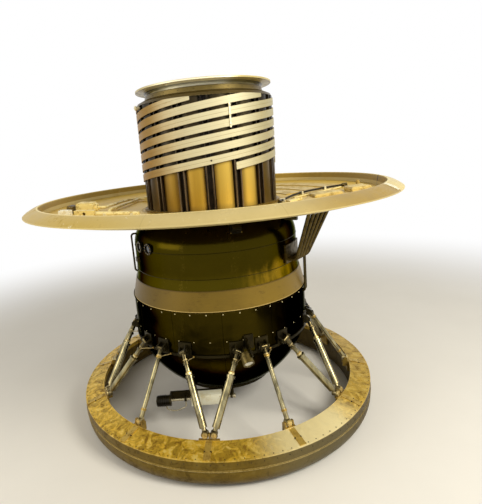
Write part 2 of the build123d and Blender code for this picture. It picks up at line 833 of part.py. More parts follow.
# Small pipes outside the casing: azimuth, low height, high height, standing radius
pipe_r = 5.5
side_pipe_rows = [
    (-79.0, casing_flare_z - 25.0, casing_shoulder_z + 65.0, casing_r + 14.0),
    (67.0, belly_top_z - 34.0, pad_low_z + 14.0, belly_r + 14.0),
    (71.0, belly_top_z - 34.0, pad_low_z + 14.0, belly_r + 14.0),
]
pipe_bend = 16.0
with BuildPart() as side_pipes:
    for az, low_z, high_z, stand_r in side_pipe_rows:
        points = [polar(casing_r - 40, az, low_z), polar(stand_r, az, low_z), polar(stand_r, az, high_z),
                  polar(casing_r - 40, az, high_z)]
        with BuildLine():
            FilletPolyline(*points, radius=pipe_bend)
        with BuildSketch(Plane(origin=points[0], z_dir=points[1] - points[0])):
            Circle(pipe_r)
        sweep()
    add(casing_seat, mode=Mode.SUBTRACT)
    with Locations((0, 0, seam_z + belly_height / 2)):
        Cylinder(belly_r + seat_gap, belly_height, mode=Mode.SUBTRACT)
    with BuildSketch(arc_section(pad_low_az - 1)):
        turned([(pad_r - 50, pad_low_z - seat_gap), (pad_face_r + seat_gap, pad_low_z - seat_gap),
                (pad_face_r + seat_gap, pad_high_z), (pad_r - 50, pad_high_z)])
    revolve(axis=Axis.Z, revolution_arc=pad_high_az - pad_low_az + 2, mode=Mode.SUBTRACT)
write(side_pipes.part, "side_pipes")

# Lugs on the casing: azimuth, height, width, tall, proud of the wall
lug_rows = [(-65.0, casing_shoulder_z - 63.0, 30.0, 26.0, 16.0), (60.0, casing_shoulder_z + 105.0, 22.0, 18.0, 40.0)]
with BuildPart() as casing_lugs:
    for az, z, width, tall, proud in lug_rows:
        with BuildSketch(outward(casing_r - 60, az, z)):
            Rectangle(width, tall)
        extrude(amount=60 + proud)
    add(casing_seat, mode=Mode.SUBTRACT)
write(casing_lugs.part, "casing_lugs")

# Boxes and blocks that stand on the dished deck: name, azimuth, share of the deck, width, depth, height, chamfer
seat_solid = deck_seat()
foot_sink = 12.0
case_az = -80.0
case_share = 0.586
case_width = 92.0
case_depth = 110.0
deck_box_rows = [
    ("deck_box", -73.8, 0.784, 62.0, 50.0, 28.0, 2.0),
    ("deck_fitting", -78.6, 0.731, 26.0, 90.0, 44.0, 3.0),
    ("deck_case", case_az, case_share, case_width, case_depth, 56.0, 6.0),
    ("junction_block", 74.0, 0.458, 150.0, 150.0, 12.0, 3.0),
    ("vent_block", 77.4, 0.765, 104.0, 150.0, 22.0, 4.0),
]
deck_boxes = {}
for name, az, share, width, depth, height, edge in deck_box_rows:
    with BuildPart() as box:
        with BuildSketch(deck_spot(az, share, width, depth)):
            Rectangle(width, depth)
        extrude(amount=height)
        top_face = box.faces().sort_by(Axis.Z)[-1]
        chamfer(top_face.edges(), length=edge)
    deck_boxes[name] = box.part
for name in ("deck_box", "deck_case", "junction_block", "vent_block"):
    write(deck_boxes[name], name)

# Valve block with its port hole in front
valve_az = -65.6
valve_share = 0.611
valve_width = 104.0
valve_depth = 54.0
valve_height = 34.0
valve_hole_r = 9.0
valve_hole_depth = 30.0
valve_spot = deck_spot(valve_az, valve_share, valve_width, valve_depth)
with BuildPart() as valve_block:
    with BuildSketch(valve_spot):
        Rectangle(valve_width, valve_depth)
    extrude(amount=valve_height)
    with BuildSketch(Plane(origin=valve_spot.from_local_coords(Vector(0, -valve_depth / 2, valve_height / 2)),
                           x_dir=valve_spot.x_dir, z_dir=-valve_spot.y_dir)):
        Circle(valve_hole_r)
    extrude(amount=-valve_hole_depth, mode=Mode.SUBTRACT)
# Duct that lies on the deck from the valve block, with its two saddles
deck_duct_r = 13.0
duct_lift = deck_duct_r + seat_gap * 2
duct_start = valve_spot.from_local_coords(Vector(valve_width / 2 + seat_gap, -4, duct_lift + 1.0))
duct_end = on_deck(-46.8, 0.223, duct_lift)
duct_run = duct_end - duct_start
duct_plane = Plane(origin=duct_start, z_dir=duct_run)
with BuildPart() as deck_duct:
    with BuildSketch(duct_plane):
        Circle(deck_duct_r)
    extrude(amount=duct_run.length)
    with Locations(valve_spot):
        Box(valve_width + seat_gap * 2, valve_depth * 2, valve_height * 4, mode=Mode.SUBTRACT)
write(deck_duct.part, "deck_duct")

saddle_shares = (0.25, 0.86)
saddle_length = 16.0
saddle_wall = 6.0
saddle_width = 2 * (deck_duct_r + saddle_wall)
with BuildPart() as duct_saddles:
    for share in saddle_shares:
        middle = duct_start + duct_run * share
        base = above_deck(middle.X, middle.Y, -foot_sink)
        with BuildSketch(Plane(origin=base, x_dir=Vector(0, 0, 1).cross(duct_run), z_dir=(0, 0, 1))):
            Rectangle(saddle_width, saddle_length)
        extrude(amount=foot_sink + duct_lift + deck_duct_r / 2)
    add(seat_solid, mode=Mode.SUBTRACT)
    with BuildSketch(duct_plane):
        Circle(deck_duct_r + seat_gap)
    extrude(amount=duct_run.length, mode=Mode.SUBTRACT)
write(duct_saddles.part, "duct_saddles")

# Pipes from the case and the deck to a block beside the drum
case_spot = deck_spot(case_az, case_share, case_width, case_depth)
collar_r = 24.0
collar_t = 14.0
collar_high = 28.0
collar_origin = case_spot.from_local_coords(Vector(case_width / 2 + seat_gap, 15, collar_high))
with BuildPart() as pipe_collar:
    with BuildSketch(Plane(origin=collar_origin, z_dir=case_spot.x_dir)):
        Circle(collar_r)
    extrude(amount=collar_t)
manifold_az = -130.4
manifold_share = 0.308
manifold_width = 44.0
manifold_depth = 70.0
manifold_height = 30.0
manifold_spot = deck_spot(manifold_az, manifold_share, manifold_width, manifold_depth)
with BuildPart() as deck_manifold:
    with BuildSketch(manifold_spot):
        Rectangle(manifold_width, manifold_depth)
    extrude(amount=manifold_height)
write(together(valve_block.part, deck_manifold.part), "valve_blocks")

deck_pipe_r = 8.0
deck_pipe_lift = 15.0
manifold_face = -manifold_width / 2 - seat_gap
pipe_in = 45.0
long_pipe = [collar_origin + case_spot.x_dir * (collar_t + seat_gap),
             collar_origin + case_spot.x_dir * (collar_t + 40),
             on_deck(-117.3, 0.453, deck_pipe_lift),
             manifold_spot.from_local_coords(Vector(manifold_face - pipe_in, 17, deck_pipe_lift)),
             manifold_spot.from_local_coords(Vector(manifold_face, 17, deck_pipe_lift))]
short_pipe = [on_deck(-77.2, 0.374),
              on_deck(-80.0, 0.355, deck_pipe_lift),
              on_deck(-118.6, 0.333, deck_pipe_lift),
              manifold_spot.from_local_coords(Vector(manifold_face - pipe_in, -17, deck_pipe_lift)),
              manifold_spot.from_local_coords(Vector(manifold_face, -17, deck_pipe_lift))]
with BuildPart() as deck_pipes:
    for route in (long_pipe, short_pipe):
        add(bent_tube(route, deck_pipe_r))
    add(seat_solid, mode=Mode.SUBTRACT)
write(together(deck_pipes.part, pipe_collar.part), "deck_pipes")

# Cable over the right side of the deck, with its end fittings and clamps
cable_r = 6.0
cable_lift = 11.0
gland_r = 10.0
gland_length = 30.0
# Rows: azimuth, share of the deck, whether the run that follows has a clamp
cable_rows = [
    (53.1, 0.105, True), (64.2, 0.086, False), (76.2, 0.105, False), (87.0, 0.180, True),
    (92.7, 0.308, False), (94.8, 0.458, True), (95.4, 0.595, False), (95.0, 0.722, False),
]
cable_route = [on_deck(az, share, cable_lift) for az, share, clamped in cable_rows]
print("deck_cable bend radii", [round(radius, 1) for radius in bend_radii(cable_route)])
write(bent_tube(cable_route, cable_r), "deck_cable")

with BuildPart() as cable_glands:
    for end, inner in ((cable_route[0], cable_route[1]), (cable_route[-1], cable_route[-2])):
        with BuildSketch(Plane(origin=end, z_dir=end - inner)):
            Circle(gland_r)
        extrude(amount=gland_length)
write(cable_glands.part, "cable_glands")

clamp_length = 12.0
clamp_width = 26.0
clamp_over = 3.0
with BuildPart() as cable_clamps:
    for start, end, row in zip(cable_route, cable_route[1:], cable_rows):
        if not row[2]:
            continue
        middle = (start + end) / 2
        run = end - start
        base = above_deck(middle.X, middle.Y, -foot_sink)
        with BuildSketch(Plane(origin=base, x_dir=Vector(0, 0, 1).cross(run), z_dir=(0, 0, 1))):
            Rectangle(clamp_width, clamp_length)
        extrude(amount=foot_sink + cable_lift + cable_r + clamp_over)
        with BuildSketch(Plane(origin=middle - run / 2, z_dir=run)):
            Circle(cable_r + seat_gap * 2)
        extrude(amount=run.length, mode=Mode.SUBTRACT)
    add(seat_solid, mode=Mode.SUBTRACT)
write(cable_clamps.part, "cable_clamps")

# Thin rod and three-cornered bracket beside the cable
rod_r = 4.0
rod_start = on_deck(73.7, 0.153, rod_r + seat_gap * 2)
rod_end = on_deck(92.4, 0.684, rod_r + seat_gap * 2)
with BuildPart() as cable_rod:
    with BuildSketch(Plane(origin=rod_start, z_dir=rod_end - rod_start)):
        Circle(rod_r)
    extrude(amount=(rod_end - rod_start).length)
corner_t = 12.0
corner_points = [(-30.0, -60.0), (60.0, 62.0), (-36.0, 10.0)]
with BuildPart() as corner_bracket:
    with BuildSketch(deck_spot(56.9, 0.212, 120.0, 125.0)):
        turned(corner_points)
    extrude(amount=corner_t)
write(together(cable_rod.part, corner_bracket.part), "cable_guards")

# Upright outlet pipe beside the vent block
vent_pipe_r = 11.0
vent_bore_r = 7.0
vent_pipe_height = 38.0
vent_spot = deck_spot(88.6, 0.834, vent_pipe_r * 4, vent_pipe_r * 4)
with BuildPart() as vent_pipe:
    with BuildSketch(vent_spot):
        Circle(vent_pipe_r * 2)
    extrude(amount=vent_pipe_height / 6)
    with BuildSketch(vent_spot):
        Circle(vent_pipe_r)
    extrude(amount=vent_pipe_height)
    with BuildSketch(vent_spot.offset(vent_pipe_height)):
        Circle(vent_bore_r)
    extrude(amount=-vent_pipe_height / 2, mode=Mode.SUBTRACT)
write(together(deck_boxes["deck_fitting"], vent_pipe.part), "deck_fittings")

# Thin panels on the deck, behind on the right: inner and outer share of the deck
panel_rows = [(0.125, 0.285), (0.356, 0.517), (0.588, 0.749)]
panel_az = 100.0
panel_arc = 55.0
panel_t = 4.0
with BuildPart() as deck_panels:
    with BuildSketch(arc_section(panel_az)):
        for inner_share, outer_share in panel_rows:
            inner_r = deck_hub_r + inner_share * (deck_r - deck_hub_r)
            outer_r = deck_hub_r + outer_share * (deck_r - deck_hub_r)
            turned([(inner_r, deck_z(inner_r) + seat_gap), (outer_r, deck_z(outer_r) + seat_gap),
                    (outer_r, deck_z(outer_r) + panel_t), (inner_r, deck_z(inner_r) + panel_t)])
    revolve(axis=Axis.Z, revolution_arc=panel_arc)
write(deck_panels.part, "deck_panels")

# Antenna drum: foot ring, core, columns and posts
with BuildPart() as drum_foot:
    with BuildSketch(Plane.XY.offset(deck_hub_z)):
        Circle(drum_foot_r)
    extrude(amount=drum_foot_t)
write(drum_foot.part, "drum_foot")

with BuildPart() as drum_core:
    with BuildSketch(Plane.XY.offset(drum_foot_z)):
        Circle(drum_core_r)
    extrude(amount=strip_top_z - drum_foot_z)
write(drum_core.part, "drum_core")

column_step = 360.0 / column_count
column_seat_r = drum_core_r + seat_gap
column_half_az = degrees(asin(column_width / 2 / column_side_r))
with BuildPart() as drum_columns:
    with BuildSketch(Plane.XY.offset(drum_foot_z)):
        for n in range(column_count):
            az = column_step * (n + 0.5)
            low = az - column_half_az
            high = az + column_half_az
            with BuildLine():
                ThreePointArc(polar(column_seat_r, low, 0), polar(column_seat_r, az, 0),
                              polar(column_seat_r, high, 0))
                Line(polar(column_seat_r, high, 0), polar(column_side_r, high, 0))
                ThreePointArc(polar(column_side_r, high, 0), polar(column_crown_r, az, 0),
                              polar(column_side_r, low, 0))
                Line(polar(column_side_r, low, 0), polar(column_seat_r, low, 0))
            make_face()
    extrude(amount=strip_top_z - drum_foot_z)
write(drum_columns.part, "drum_columns")

post_depth = post_r - column_seat_r
with BuildPart() as drum_posts:
    with BuildSketch(Plane.XY.offset(drum_foot_z)):
        for n in range(column_count):
            for side in (-1, 1):
                az = column_step * n + side * degrees(post_offset / post_r)
                middle = polar(column_seat_r + post_depth / 2 + seat_gap, az, 0)
                with Locations(Location(middle, (0, 0, az))):
                    Rectangle(post_width, post_depth)
    extrude(amount=strip_top_z - drum_foot_z)
write(drum_posts.part, "drum_posts")

# Helical strips: six starts, each with the azimuth and height of its lower end
strip_lead = strip_pitch * strip_count
strip_rise = strip_lead / 360
first_end_az = 21.0
first_end_z = strip_top_z - 353.0
strip_end_azimuths = [21.0, -88.0, -118.0, -170.0, -217.0, -272.0]
strip_middle_r = strip_inner_r + strip_t / 2


def strip_from(low_z):
    """One strip that starts at azimuth 90 degrees, cut off level at the drum's top."""
    with BuildPart() as strip:
        with BuildLine():
            Helix(pitch=strip_lead, height=strip_top_z - low_z, radius=strip_middle_r, center=(0, 0, low_z))
        with BuildSketch(Plane(origin=(strip_middle_r, 0, low_z), x_dir=(1, 0, 0), z_dir=(0, 1, 0))):
            Rectangle(strip_t, strip_width)
        sweep(is_frenet=True)
        split(bisect_by=Plane.XY.offset(strip_top_z), keep=Keep.BOTTOM)
    return strip.part


with BuildPart() as helix_strips:
    for n, end_az in enumerate(strip_end_azimuths):
        low_z = first_end_z + n * strip_pitch + (end_az - first_end_az) * strip_rise
        add(strip_from(low_z), rotation=(0, 0, end_az - 90))
write(helix_strips.part, "helix_strips")

# Upright clip across the strips in front
clip_az = 18.4
clip_low_z = strip_top_z - 163.0
clip_high_z = strip_top_z - 45.0
clip_t = 4.0
clip_width = 9.0
clip_seat_r = strip_inner_r + strip_t + seat_gap
with BuildPart() as strip_clips:
    with BuildSketch(outward(clip_seat_r, clip_az, (clip_low_z + clip_high_z) / 2)):
        Rectangle(clip_width, clip_high_z - clip_low_z)
    extrude(amount=clip_t)
write(strip_clips.part, "strip_clips")

# Shoulder, neck ring, collar ring and top flange
with BuildPart() as drum_shoulder:
    with BuildSketch(Plane.XZ):
        turned([(0, strip_top_z), (post_r, strip_top_z),
                (post_r - shoulder_corner, strip_top_z + shoulder_corner_rise), (shoulder_top_r, shoulder_top_z),
                (0, shoulder_top_z)])
    revolve(axis=Axis.Z)
write(drum_shoulder.part, "drum_shoulder")

neck_ring_top_z = shoulder_top_z + neck_ring_t
with BuildPart() as neck_ring:
    with BuildSketch(Plane.XY.offset(shoulder_top_z)):
        Circle(neck_ring_r)
    extrude(amount=neck_ring_t)
write(neck_ring.part, "neck_ring")

collar_top_z = neck_ring_top_z + collar_ring_t
with BuildPart() as collar_ring:
    with BuildSketch(Plane.XY.offset(neck_ring_top_z)):
        Circle(collar_ring_r)
    extrude(amount=collar_ring_t)
write(collar_ring.part, "collar_ring")

flange_top_z = collar_top_z + flange_dish + flange_edge_t
with BuildPart() as top_flange:
    with BuildSketch(Plane.XZ):
        turned([(0, collar_top_z), (flange_inner_r, collar_top_z), (flange_r, collar_top_z + flange_dish),
                (flange_r, flange_top_z), (0, flange_top_z)])
    revolve(axis=Axis.Z)
    with BuildSketch(Plane.XY.offset(flange_top_z)):
        with PolarLocations(flange_bolt_pcd / 2, flange_bolt_count):
            Circle(flange_bolt_r)
    extrude(amount=-(flange_dish + flange_edge_t), mode=Mode.SUBTRACT)
write(top_flange.part, "top_flange")
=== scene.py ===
from math import cos, pi, radians, sin

import bmesh
import bpy
from mathutils import Matrix, Vector


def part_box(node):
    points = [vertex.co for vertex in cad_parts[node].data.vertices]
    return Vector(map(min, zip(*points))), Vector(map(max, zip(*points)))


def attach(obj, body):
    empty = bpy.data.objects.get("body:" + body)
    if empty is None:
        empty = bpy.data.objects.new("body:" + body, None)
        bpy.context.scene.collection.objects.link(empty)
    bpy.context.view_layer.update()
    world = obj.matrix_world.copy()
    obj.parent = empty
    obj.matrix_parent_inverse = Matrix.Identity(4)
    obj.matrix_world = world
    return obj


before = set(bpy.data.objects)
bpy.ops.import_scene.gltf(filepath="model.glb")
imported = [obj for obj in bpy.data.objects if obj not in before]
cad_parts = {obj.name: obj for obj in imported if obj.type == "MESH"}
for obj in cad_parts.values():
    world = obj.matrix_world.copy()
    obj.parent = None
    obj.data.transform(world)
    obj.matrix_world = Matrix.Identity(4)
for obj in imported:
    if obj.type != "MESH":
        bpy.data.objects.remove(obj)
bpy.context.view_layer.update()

bl_info = {
    "name": "Planetary Lander Looks",
    "version": (1, 1, 0),
    "blender": (4, 5, 0),
    "location": "3D View > Sidebar > Lander",
    "description": "Finishes, fasteners and small fittings of a planetary lander on a landing ring",
    "category": "Object",
}

# Everything is in metres. An azimuth of 0 looks along -Y, and azimuths grow towards +X.


def srgb(*levels):
    """Linear colour of display levels from 0 to 255."""
    return tuple((level / 255 / 12.92) if level < 10.3 else ((level / 255 + 0.055) / 1.055) ** 2.4
                 for level in levels)


# Heights and radii of the CAD pieces that the details sit on
_, RING_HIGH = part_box("landing_ring")
_, DRUM_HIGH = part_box("belly_drum")
BELT_LOW, BELT_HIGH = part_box("belt_band")
SEAM_LOW, SEAM_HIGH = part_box("seam_flange")
_, HATCH_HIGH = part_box("belly_hatch")
FLANGE_LOW, FLANGE_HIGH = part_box("belly_flange")
_, CASING_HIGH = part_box("upper_casing")
_, DISC_NECK_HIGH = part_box("disc_neck")
RIM_LOW, RIM_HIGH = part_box("disc_rim")
FOOT_LOW, FOOT_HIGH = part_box("drum_foot")
_, STRIP_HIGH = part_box("helix_strips")
_, SHOULDER_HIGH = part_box("drum_shoulder")
NECK_LOW, NECK_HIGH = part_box("neck_ring")
_, TOP_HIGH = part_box("top_flange")
SHAFT_LOW, SHAFT_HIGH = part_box("sensor_shaft")
HEAD_LOW, HEAD_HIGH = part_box("sensor_head")
DRIVE_LOW, DRIVE_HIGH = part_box("sensor_drive")
RING_BEAD = 0.003
RING_R = RING_HIGH.x - RING_BEAD
RING_INNER_R = RING_R - 0.111
RING_FALL = 0.0245
RING_EDGE_Z = RING_HIGH.z - RING_FALL
BELLY_R = DRUM_HIGH.x - 0.004
BELT_R = CASING_HIGH.x
CASING_R = BELT_R - 0.009
FLARE_Z = BELT_HIGH.z + 0.057
SHOULDER_Z = BELT_HIGH.z + 0.192
DECK_HUB_R = DISC_NECK_HIGH.x + 0.010
DECK_RIM_R = RIM_HIGH.x - 0.089
DECK_HUB_Z = FOOT_LOW.z
DECK_FALL = 0.038
CREST_R = RIM_HIGH.x - 0.073
PLATE_AZ = 55.5
STATIONS = 6
TWIN_AZ = -8.0
SINGLE_AZ = 22.0
FOOT_R = RING_INNER_R - 0.025
FOOT_Z = RING_HIGH.z + 0.017
FOOT_HALF_AZ = 1.69
TOP_R = BELLY_R + 0.025
TOP_Z = SEAM_HIGH.z + 0.022
TOP_SPREAD = 15.0
STRIP_PITCH = 0.0545
STRIP_WIDTH = 0.0375
STRIP_STARTS = 6
STRIP_END_AZ = 21.0
STRIP_END_Z = STRIP_HIGH.z - 0.353
STRIP_ENDS = (-170.0, -118.0, -88.0, 21.0, 88.0, 143.0)
STRIP_RISE = STRIP_PITCH * STRIP_STARTS / (2 * pi)
SHAFT_Y = (SHAFT_LOW.y + SHAFT_HIGH.y) / 2
SHAFT_Z = (SHAFT_LOW.z + SHAFT_HIGH.z) / 2
FULL = 360.0
PANELS = 12
PANEL_SEAMS_R = (0.56, 0.76)
COLUMNS = 16
SPECULAR_LEVEL = 0.3

# Circles of rivets and strap bolts, bore of the nuts and collars on the legs, lids of the deck's boxes
RING_RIVET_R = 0.8715
STRAP_BOLT_R = 0.832
OUTER_RIVET_R = 0.944
INNER_RIVET_R = 0.418
SLEEVE_R = 0.0122
LID_T = 0.0022
LID_INSET = 0.006


def polar(r, az, z):
    """Point at a radius, an azimuth in degrees and a height."""
    return Vector((r * sin(radians(az)), -r * cos(radians(az)), z))


def standing(origin, normal, up=(0, 0, 1)):
    """Placement whose local Z is the normal and whose local Y leans towards up."""
    z = Vector(normal).normalized()
    x = Vector(up).cross(z).normalized()
    return Matrix.Translation(origin) @ Matrix((x, z.cross(x), z)).transposed().to_4x4()


def lifted(place, height):
    """A placement moved along its local Z."""
    return place @ Matrix.Translation((0, 0, height))


def outward(r, az, z, tilt=0.0):
    """Placement on a round body whose local Z points away from the axis, tilted upward by some degrees."""
    out = polar(cos(radians(tilt)), az, sin(radians(tilt)))
    return standing(polar(r, az, z), out)


def ring_top_z(r):
    """Height of the landing ring's sloping top at a radius."""
    return RING_HIGH.z - (r - RING_INNER_R) * RING_FALL / (RING_R - RING_INNER_R)


def deck_z(r):
    """Height of the dished deck at a radius."""
    return DECK_HUB_Z + (r - DECK_HUB_R) * DECK_FALL / (DECK_RIM_R - DECK_HUB_R)


def on_deck(az, share, height=0.0):
    """Placement on the deck at an azimuth and a share of the way to the rim, with local X along +X."""
    r = DECK_HUB_R + share * (DECK_RIM_R - DECK_HUB_R)
    slope = DECK_FALL / (DECK_RIM_R - DECK_HUB_R)
    foot = polar(r, az, deck_z(r))
    normal = Vector((-slope * foot.x / r, -slope * foot.y / r, 1)).normalized()
    x = (Vector((1, 0, 0)) - normal * normal.x).normalized()
    return Matrix.Translation(foot + normal * height) @ Matrix((x, normal.cross(x), normal)).transposed().to_4x4()


def leg_ends(foot_az, top_az):
    """Foot point and top point of a leg."""
    return polar(FOOT_R, foot_az, FOOT_Z), polar(TOP_R, top_az, TOP_Z)


# Legs round the ring: foot azimuth, top azimuth, whether it is a damper
LEGS = []
for station in range(STATIONS):
    turn = station * FULL / STATIONS
    LEGS.append((TWIN_AZ - FOOT_HALF_AZ + turn, TWIN_AZ - TOP_SPREAD + turn, True))
    LEGS.append((TWIN_AZ + FOOT_HALF_AZ + turn, TWIN_AZ + TOP_SPREAD + turn, True))
    LEGS.append((SINGLE_AZ + turn, SINGLE_AZ + turn, False))


class Socket:
    """A shader value that can be added, multiplied and compared like a number."""

    def __init__(self, shade, socket):
        self.shade = shade
        self.socket = socket

    def maths(self, operation, *values):
        """Result of one operation on sockets and numbers."""
        return self.shade.node("ShaderNodeMath", dict(enumerate(values)), operation=operation)

    def __add__(self, other):
        return self.maths("ADD", self, other)

    def __radd__(self, other):
        return self.maths("ADD", other, self)

    def __sub__(self, other):
        return self.maths("SUBTRACT", self, other)

    def __rsub__(self, other):
        return self.maths("SUBTRACT", other, self)

    def __mul__(self, other):
        return self.maths("MULTIPLY", self, other)

    def __truediv__(self, other):
        return self.maths("DIVIDE", self, other)

    def __abs__(self):
        return self.maths("ABSOLUTE", self)

    def apart(self):
        """Distance to the nearest whole number."""
        return abs(self - self.maths("ROUND", self))


class Shade:
    """Nodes of one material."""

    def __init__(self, name):
        self.material = bpy.data.materials.new(name)
        self.material.use_nodes = True
        self.tree = self.material.node_tree
        self.tree.nodes.clear()

    def node(self, kind, inputs=None, output=0, **settings):
        """One node with its settings, the values or links of its sockets, and one of its outputs."""
        made = self.tree.nodes.new(kind)
        for key, setting in settings.items():
            setattr(made, key, setting)
        for key, value in (inputs or {}).items():
            socket = made.inputs[key]
            if isinstance(value, Socket):
                self.tree.links.new(value.socket, socket)
            elif isinstance(value, (tuple, list, Vector)) and socket.type == "RGBA" and len(value) == 3:
                socket.default_value = (*value, 1.0)
            else:
                socket.default_value = value
        return Socket(self, made.outputs[output])

    def place(self):
        """Object coordinates."""
        return self.node("ShaderNodeTexCoord", output="Object")

    def stretched(self, scale):
        """Object coordinates stretched along the axes."""
        return self.node("ShaderNodeVectorMath", {0: self.place(), 1: scale}, operation="MULTIPLY")

    def parts(self):
        """X, Y and Z of the object coordinates."""
        made = self.tree.nodes.new("ShaderNodeSeparateXYZ")
        self.tree.links.new(self.place().socket, made.inputs[0])
        return [Socket(self, output) for output in made.outputs]

    def around(self):
        """Radius, azimuth in radians and height round the object's axis."""
        x, y, z = self.parts()
        azimuth = x.maths("ARCTAN2", x, 0.0 - y)
        radius = (x * x + y * y).maths("SQRT", x * x + y * y)
        return radius, azimuth, z

    def noise(self, scale, detail=4.0, roughness=0.55, stretch=(1, 1, 1), distortion=0.0):
        """Cloudy values round 0.5."""
        return self.node("ShaderNodeTexNoise", {"Vector": self.stretched(stretch), "Scale": scale, "Detail": detail,
                                                "Roughness": roughness, "Distortion": distortion})

    def cells(self, scale):
        """Distance to the nearest of scattered points."""
        return self.node("ShaderNodeTexVoronoi", {"Vector": self.stretched((1, 1, 1)), "Scale": scale},
                         output="Distance")

    def mask(self, value, low, high):
        """0 below low, 1 above high and smooth between, or the other way round where low is above high."""
        return self.node("ShaderNodeMapRange", {0: value, 1: low, 2: high}, interpolation_type="SMOOTHSTEP")

    def sector(self, angle, low, high):
        """Mask of an angle in radians between two angles in degrees."""
        return self.mask(angle, radians(low), radians(high))

    def mix(self, factor, first, second):
        """Blend of two colours."""
        return self.node("ShaderNodeMix", {0: factor, 6: first, 7: second}, output=2, data_type="RGBA")

    def edges(self, radius):
        """1 along sharp edges and 0 on open faces."""
        rounded = self.node("ShaderNodeBevel", {"Radius": radius}, samples=4)
        flat = self.node("ShaderNodeNewGeometry", output="Normal")
        match = self.node("ShaderNodeVectorMath", {0: rounded, 1: flat}, output="Value", operation="DOT_PRODUCT")
        return self.mask(match, 0.995, 0.93)

    def bump(self, height, distance):
        """Normal of a height pattern."""
        return self.node("ShaderNodeBump", {"Height": height, "Distance": distance, "Strength": 1.0})

    def finish(self, base, rough, metallic, height, depth, **sockets):
        """Principled surface with a bump, and other sockets by name with underscores for spaces."""
        inputs = {"Specular IOR Level": SPECULAR_LEVEL, "Base Color": base, "Roughness": rough,
                  "Metallic": metallic, "Normal": self.bump(height, depth)}
        inputs.update((key.replace("_", " "), value) for key, value in sockets.items())
        self.node_out(self.node("ShaderNodeBsdfPrincipled", inputs))
        return self.material

    def node_out(self, surface):
        """End the material in a surface."""
        made = self.tree.nodes.new("ShaderNodeOutputMaterial")
        self.tree.links.new(surface.socket, made.inputs["Surface"])


def tint(colour, factor):
    """A colour made lighter or darker."""
    return tuple(min(1.0, channel * factor) for channel in colour)


def worn_metal(name, colour, grime, metallic, rough, mottle, wear):
    """Metal or paint with cloudy tone, grime in patches, fine specks and rubbed edges."""
    shade = Shade(name)
    clouds = shade.noise(mottle, 6.0, 0.6)
    fine = shade.noise(140.0, 3.0, 0.6)
    dirt = shade.mask(clouds + fine * 0.35, 0.62, 0.86)
    tone = shade.mix(clouds, tint(colour, 0.82), tint(colour, 1.12))
    base = shade.mix(dirt * 0.75, tone, grime)
    rubbed = shade.edges(0.002) * shade.mask(fine, 0.42, 0.6) * wear
    base = shade.mix(rubbed, base, tuple(min(1.0, channel * 1.25 + 0.03) for channel in colour))
    roughness = rough + (clouds - 0.5) * 0.25 + dirt * 0.18
    return shade.finish(base, roughness, metallic, fine * 0.6 + clouds, 0.0004)


def ring_finish(colours):
    """Dusty gold ring: blotched top with fine pits, a side wall darkened with painted shade, painted light at the
    front right and painted shade on the right.
    """
    shade = Shade("ring_worn_gold")
    radius, azimuth, height = shade.around()
    broad = shade.noise(3.2, 5.0, 0.62, distortion=0.4)
    patches = shade.noise(19.0, 6.0, 0.68, distortion=0.9)
    blots = shade.noise(44.0, 5.0, 0.7, distortion=0.6)
    grain = shade.noise(120.0, 4.0, 0.7)
    crust = shade.cells(38.0)
    base = shade.mix(shade.mask(patches, 0.40, 0.60), tint(colours.ring, 0.74), tint(colours.ring, 1.36))
    base = shade.mix(shade.mask(broad, 0.46, 0.7) * 0.5, base, srgb(208, 176, 72))
    light = shade.mask(blots * 0.45 + patches * 0.55, 0.52, 0.60)
    base = shade.mix(light * 0.7, base, srgb(232, 208, 118))
    rust = shade.mask(patches * 0.5 + blots * 0.5, 0.47, 0.41)
    base = shade.mix(rust * 0.7, base, srgb(116, 82, 16))
    spots = shade.mask(grain, 0.58, 0.68) * shade.mask(crust, 0.3, 0.1)
    base = shade.mix(spots * 0.85, base, srgb(58, 40, 14))
    # Painted light: a whitish pool of lamp light on the top at the front right
    pale = shade.sector(azimuth, 4, 20) * shade.sector(azimuth, 54, 36)
    pale = pale * shade.mask(broad + patches * 0.35, 0.42, 0.64)
    base = shade.mix(pale * 0.92, base, srgb(240, 226, 172))
    # Painted shade: the ring darker from the right side round to the back
    ring_painted_shade = shade.sector(azimuth, 44, 60) * shade.sector(azimuth, 170, 120)
    base = shade.mix(ring_painted_shade * 0.4, base, tint(colours.ring, 0.45))
    # Painted shade: the side wall under the edge is painted dark olive
    side = shade.mask(height, RING_EDGE_Z - 0.001, RING_EDGE_Z - 0.006)
    band = shade.noise(9.0, 4.0, 0.6, stretch=(0.3, 0.3, 14))
    wall = shade.mix(patches * 0.5 + band * 0.5, srgb(50, 39, 6), srgb(112, 90, 22))
    # Darker towards the foot of the wall
    wall = shade.mix(shade.mask(height, 0.085, 0.02) * 0.6, wall, srgb(36, 28, 6))
    # More painted shade on the right of the side wall
    wall = shade.mix(shade.sector(azimuth, 2, 40) * 0.75, wall, srgb(30, 24, 5))
    base = shade.mix(side * 0.9, base, wall)
    bead = shade.mask(abs(height - 0.104), 0.006, 0.003) * shade.mask(radius, RING_R - 0.0005, RING_R + 0.0005)
    base = shade.mix(bead * 0.25, base, srgb(140, 114, 46))
    rubbed = shade.edges(0.003) * shade.mask(grain, 0.36, 0.5)
    base = shade.mix(rubbed * 0.8, base, srgb(240, 214, 140))
    rough = 0.44 + rust * 0.25 + (patches - 0.5) * 0.3
    dents = patches * 0.7 + blots * 0.4 + grain * 0.25 + shade.mask(crust, 0.25, 0.05) * 0.2
    return shade.finish(base, rough, 0.5, dents, 0.0015)


